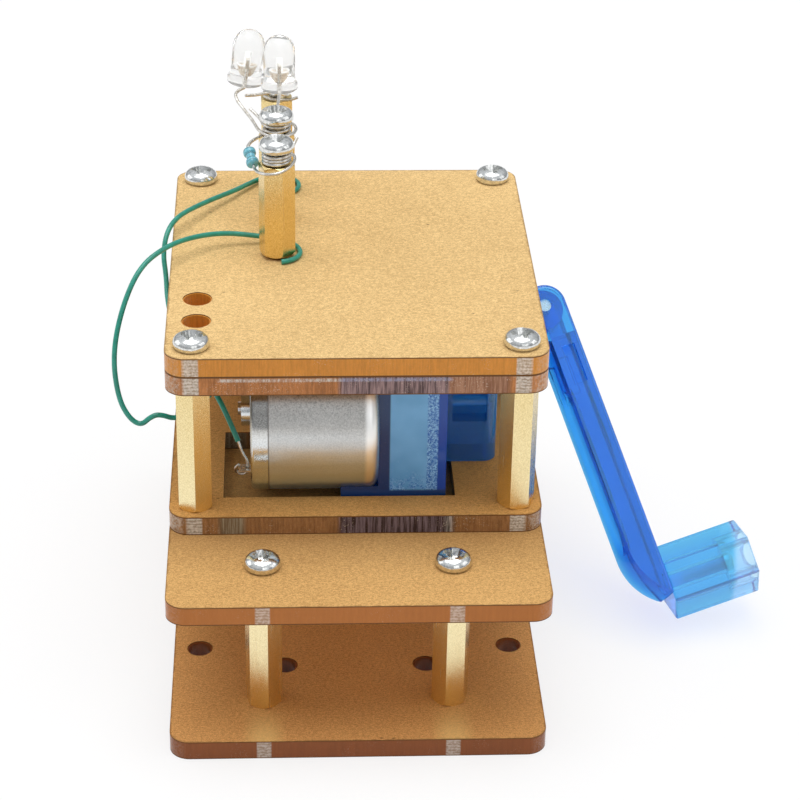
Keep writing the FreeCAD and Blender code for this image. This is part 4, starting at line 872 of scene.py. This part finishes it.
def dress_all():
    """Materials of every node and the pieces that replace some of them."""
    dress_plates()
    green = green_insulation()
    tin = plain_metal("tinned_metal", (0.72, 0.70, 0.66), (0.42, 0.38, 0.32), 0.22)
    epoxy = clear_epoxy()
    cup = reflector()
    screw_steel = plated_steel()
    by_slot = {
        "brass": brass(),
        "plated_steel": screw_steel,
        "tinned_metal": tin,
        "shaft_steel": plain_metal("shaft_steel", (0.72, 0.72, 0.73), (0.52, 0.52, 0.53), 0.18),
        "bronze": plain_metal("bronze", (0.58, 0.40, 0.20), (0.38, 0.25, 0.12), 0.35),
        "copper": plain_metal("copper", (0.75, 0.33, 0.16), (0.50, 0.20, 0.09), 0.30),
        "rotor_steel": plain_metal("rotor_steel", (0.45, 0.45, 0.46), (0.26, 0.26, 0.27), 0.35),
        "magnet": plain_solid("magnet", (0.045, 0.045, 0.048), (0.075, 0.075, 0.08), 0.6),
        "gear_plastic": plain_solid("gear_plastic", (0.78, 0.83, 0.86), (0.68, 0.75, 0.80), 0.38),
        "clear_blue": clear_blue("clear_blue", *DEEP_BLUE),
        "clear_epoxy": epoxy,
        "resistor_blue": resistor_lacquer(),
        "motor_steel": motor_steel("motor_steel", (0.72, 0.71, 0.68), (0.50, 0.49, 0.47), 0.30, 0.22),
        "green_insulation": green,
    }
    for part in frame["record"]["subparts"]:
        if part["material_slot"] in by_slot:
            dress(part["node"], by_slot[part["material_slot"]])
    dress("motor_cap", motor_steel("motor_cap_steel", (0.80, 0.79, 0.76), (0.62, 0.60, 0.56), 0.09, 0.60))
    dress("knob", clear_blue("knob_blue", *LIGHT_BLUE, hollow_end_and_shade=True))
    dress("crank_arm", clear_blue("arm_blue", *DEEP_BLUE, lean=ARM_LEAN))
    dress("fold_pin", pin_steel())
    front = case_front()
    for node in ("gear_case_shell", "gear_case_cover"):
        dress_front(node, front, CASE_FRONT)

    head = screw_head()
    for name, node, turn, turn_by_x in SCREW_SETS:
        screws(name, node, turn, turn_by_x, head, screw_steel)
    led_lens("lens_right", "led_right_lens", 0.0, epoxy, cup)
    led_lens("lens_left", "led_left_lens", LED_LEFT_TILT, epoxy, cup)
    wire("front_wire", "wire_front", WIRE_FRONT_ROUTE, WIRE_FRONT_STRAND, green, tin)
    wire("rear_wire", "wire_rear", WIRE_REAR_ROUTE, WIRE_REAR_STRAND, green, tin)


# ---------------------------------------------------------------- camera, floor and light

def add_camera():
    """Camera of the main view."""
    yaw, pitch, roll = (math.radians(a) for a in (CAMERA_YAW, CAMERA_PITCH, CAMERA_ROLL))
    ahead = Vector((math.sin(yaw) * math.cos(pitch), math.cos(yaw) * math.cos(pitch), math.sin(pitch)))
    right = Vector((math.cos(yaw), -math.sin(yaw), 0.0))
    up = right.cross(ahead)
    tilted_right = right * math.cos(roll) + up * math.sin(roll)
    tilted_up = up * math.cos(roll) - right * math.sin(roll)
    data = bpy.data.cameras.new("camera")
    data.lens = CAMERA_LENS
    data.sensor_width = SENSOR_WIDTH
    data.clip_start = 0.01
    camera = bpy.data.objects.new("camera", data)
    scene.collection.objects.link(camera)
    turn = Matrix((tilted_right, tilted_up, -ahead)).transposed().to_4x4()
    camera.matrix_world = Matrix.Translation(CAMERA_PLACE) @ turn
    scene.camera = camera


def add_floor():
    """White floor that keeps the shadows."""
    bpy.ops.mesh.primitive_plane_add(size=FLOOR_SIZE, location=(0.0, 0.0, 0.0))
    floor = bpy.context.object
    floor.name = "floor"
    g = Graph("floor")
    diffuse = g.node("BsdfDiffuse", {"Color": (0.98, 0.975, 0.975)})
    white = g.node("Emission", {"Color": (1.0, 1.0, 1.0), "Strength": 1.0})
    path = g.node("LightPath", {})
    looks = g.math("MAXIMUM", path.outputs["Is Camera Ray"], path.outputs["Is Transmission Ray"])
    looks = g.math("MAXIMUM", looks, path.outputs["Is Glossy Ray"])
    g.show(g.node("MixShader", {0: g.math("MULTIPLY", looks, FLOOR_WHITE), 1: diffuse.outputs[0],
                                2: white.outputs[0]}))
    floor.data.materials.append(g.owner)


def add_world():
    """White surroundings for the camera; as light, brighter from above and from the left."""
    g = Graph("world", world=True)
    scene.world = g.owner
    way = g.split(g.node("TexCoord", {}).outputs["Generated"])
    level = g.math("ADD", g.steps(way[2], *SKY_BY_HEIGHT), g.steps(way[0], *SKY_BY_SIDE))
    path = g.node("LightPath", {}).outputs
    strength = g.math("MULTIPLY", level, g.steps(path["Is Glossy Ray"], 0.0, 1.0, 1.0, SKY_MIRRORED))
    lit = g.node("Background", {"Color": (0.93, 0.96, 1.0), "Strength": strength})
    seen = g.node("Background", {"Color": (1.0, 1.0, 1.0), "Strength": 1.0})
    white = g.math("MAXIMUM", path["Is Camera Ray"], path["Is Transmission Ray"])
    g.show(g.node("MixShader", {0: white, 1: lit.outputs[0], 2: seen.outputs[0]}))


def add_lights():
    """Broad soft light from above and weaker ones from the front, the left and the right."""
    for name, place, size, power in LAMPS:
        data = bpy.data.lights.new(name, "AREA")
        data.size = size
        data.energy = power
        lamp = bpy.data.objects.new(name, data)
        scene.collection.objects.link(lamp)
        lamp.location = place
        lamp.rotation_euler = (Vector(LAMP_AIM) - Vector(place)).to_track_quat("-Z", "Y").to_euler()


dress_all()
add_camera()
add_floor()
add_world()
add_lights()
scene.view_settings.view_transform = "Standard"
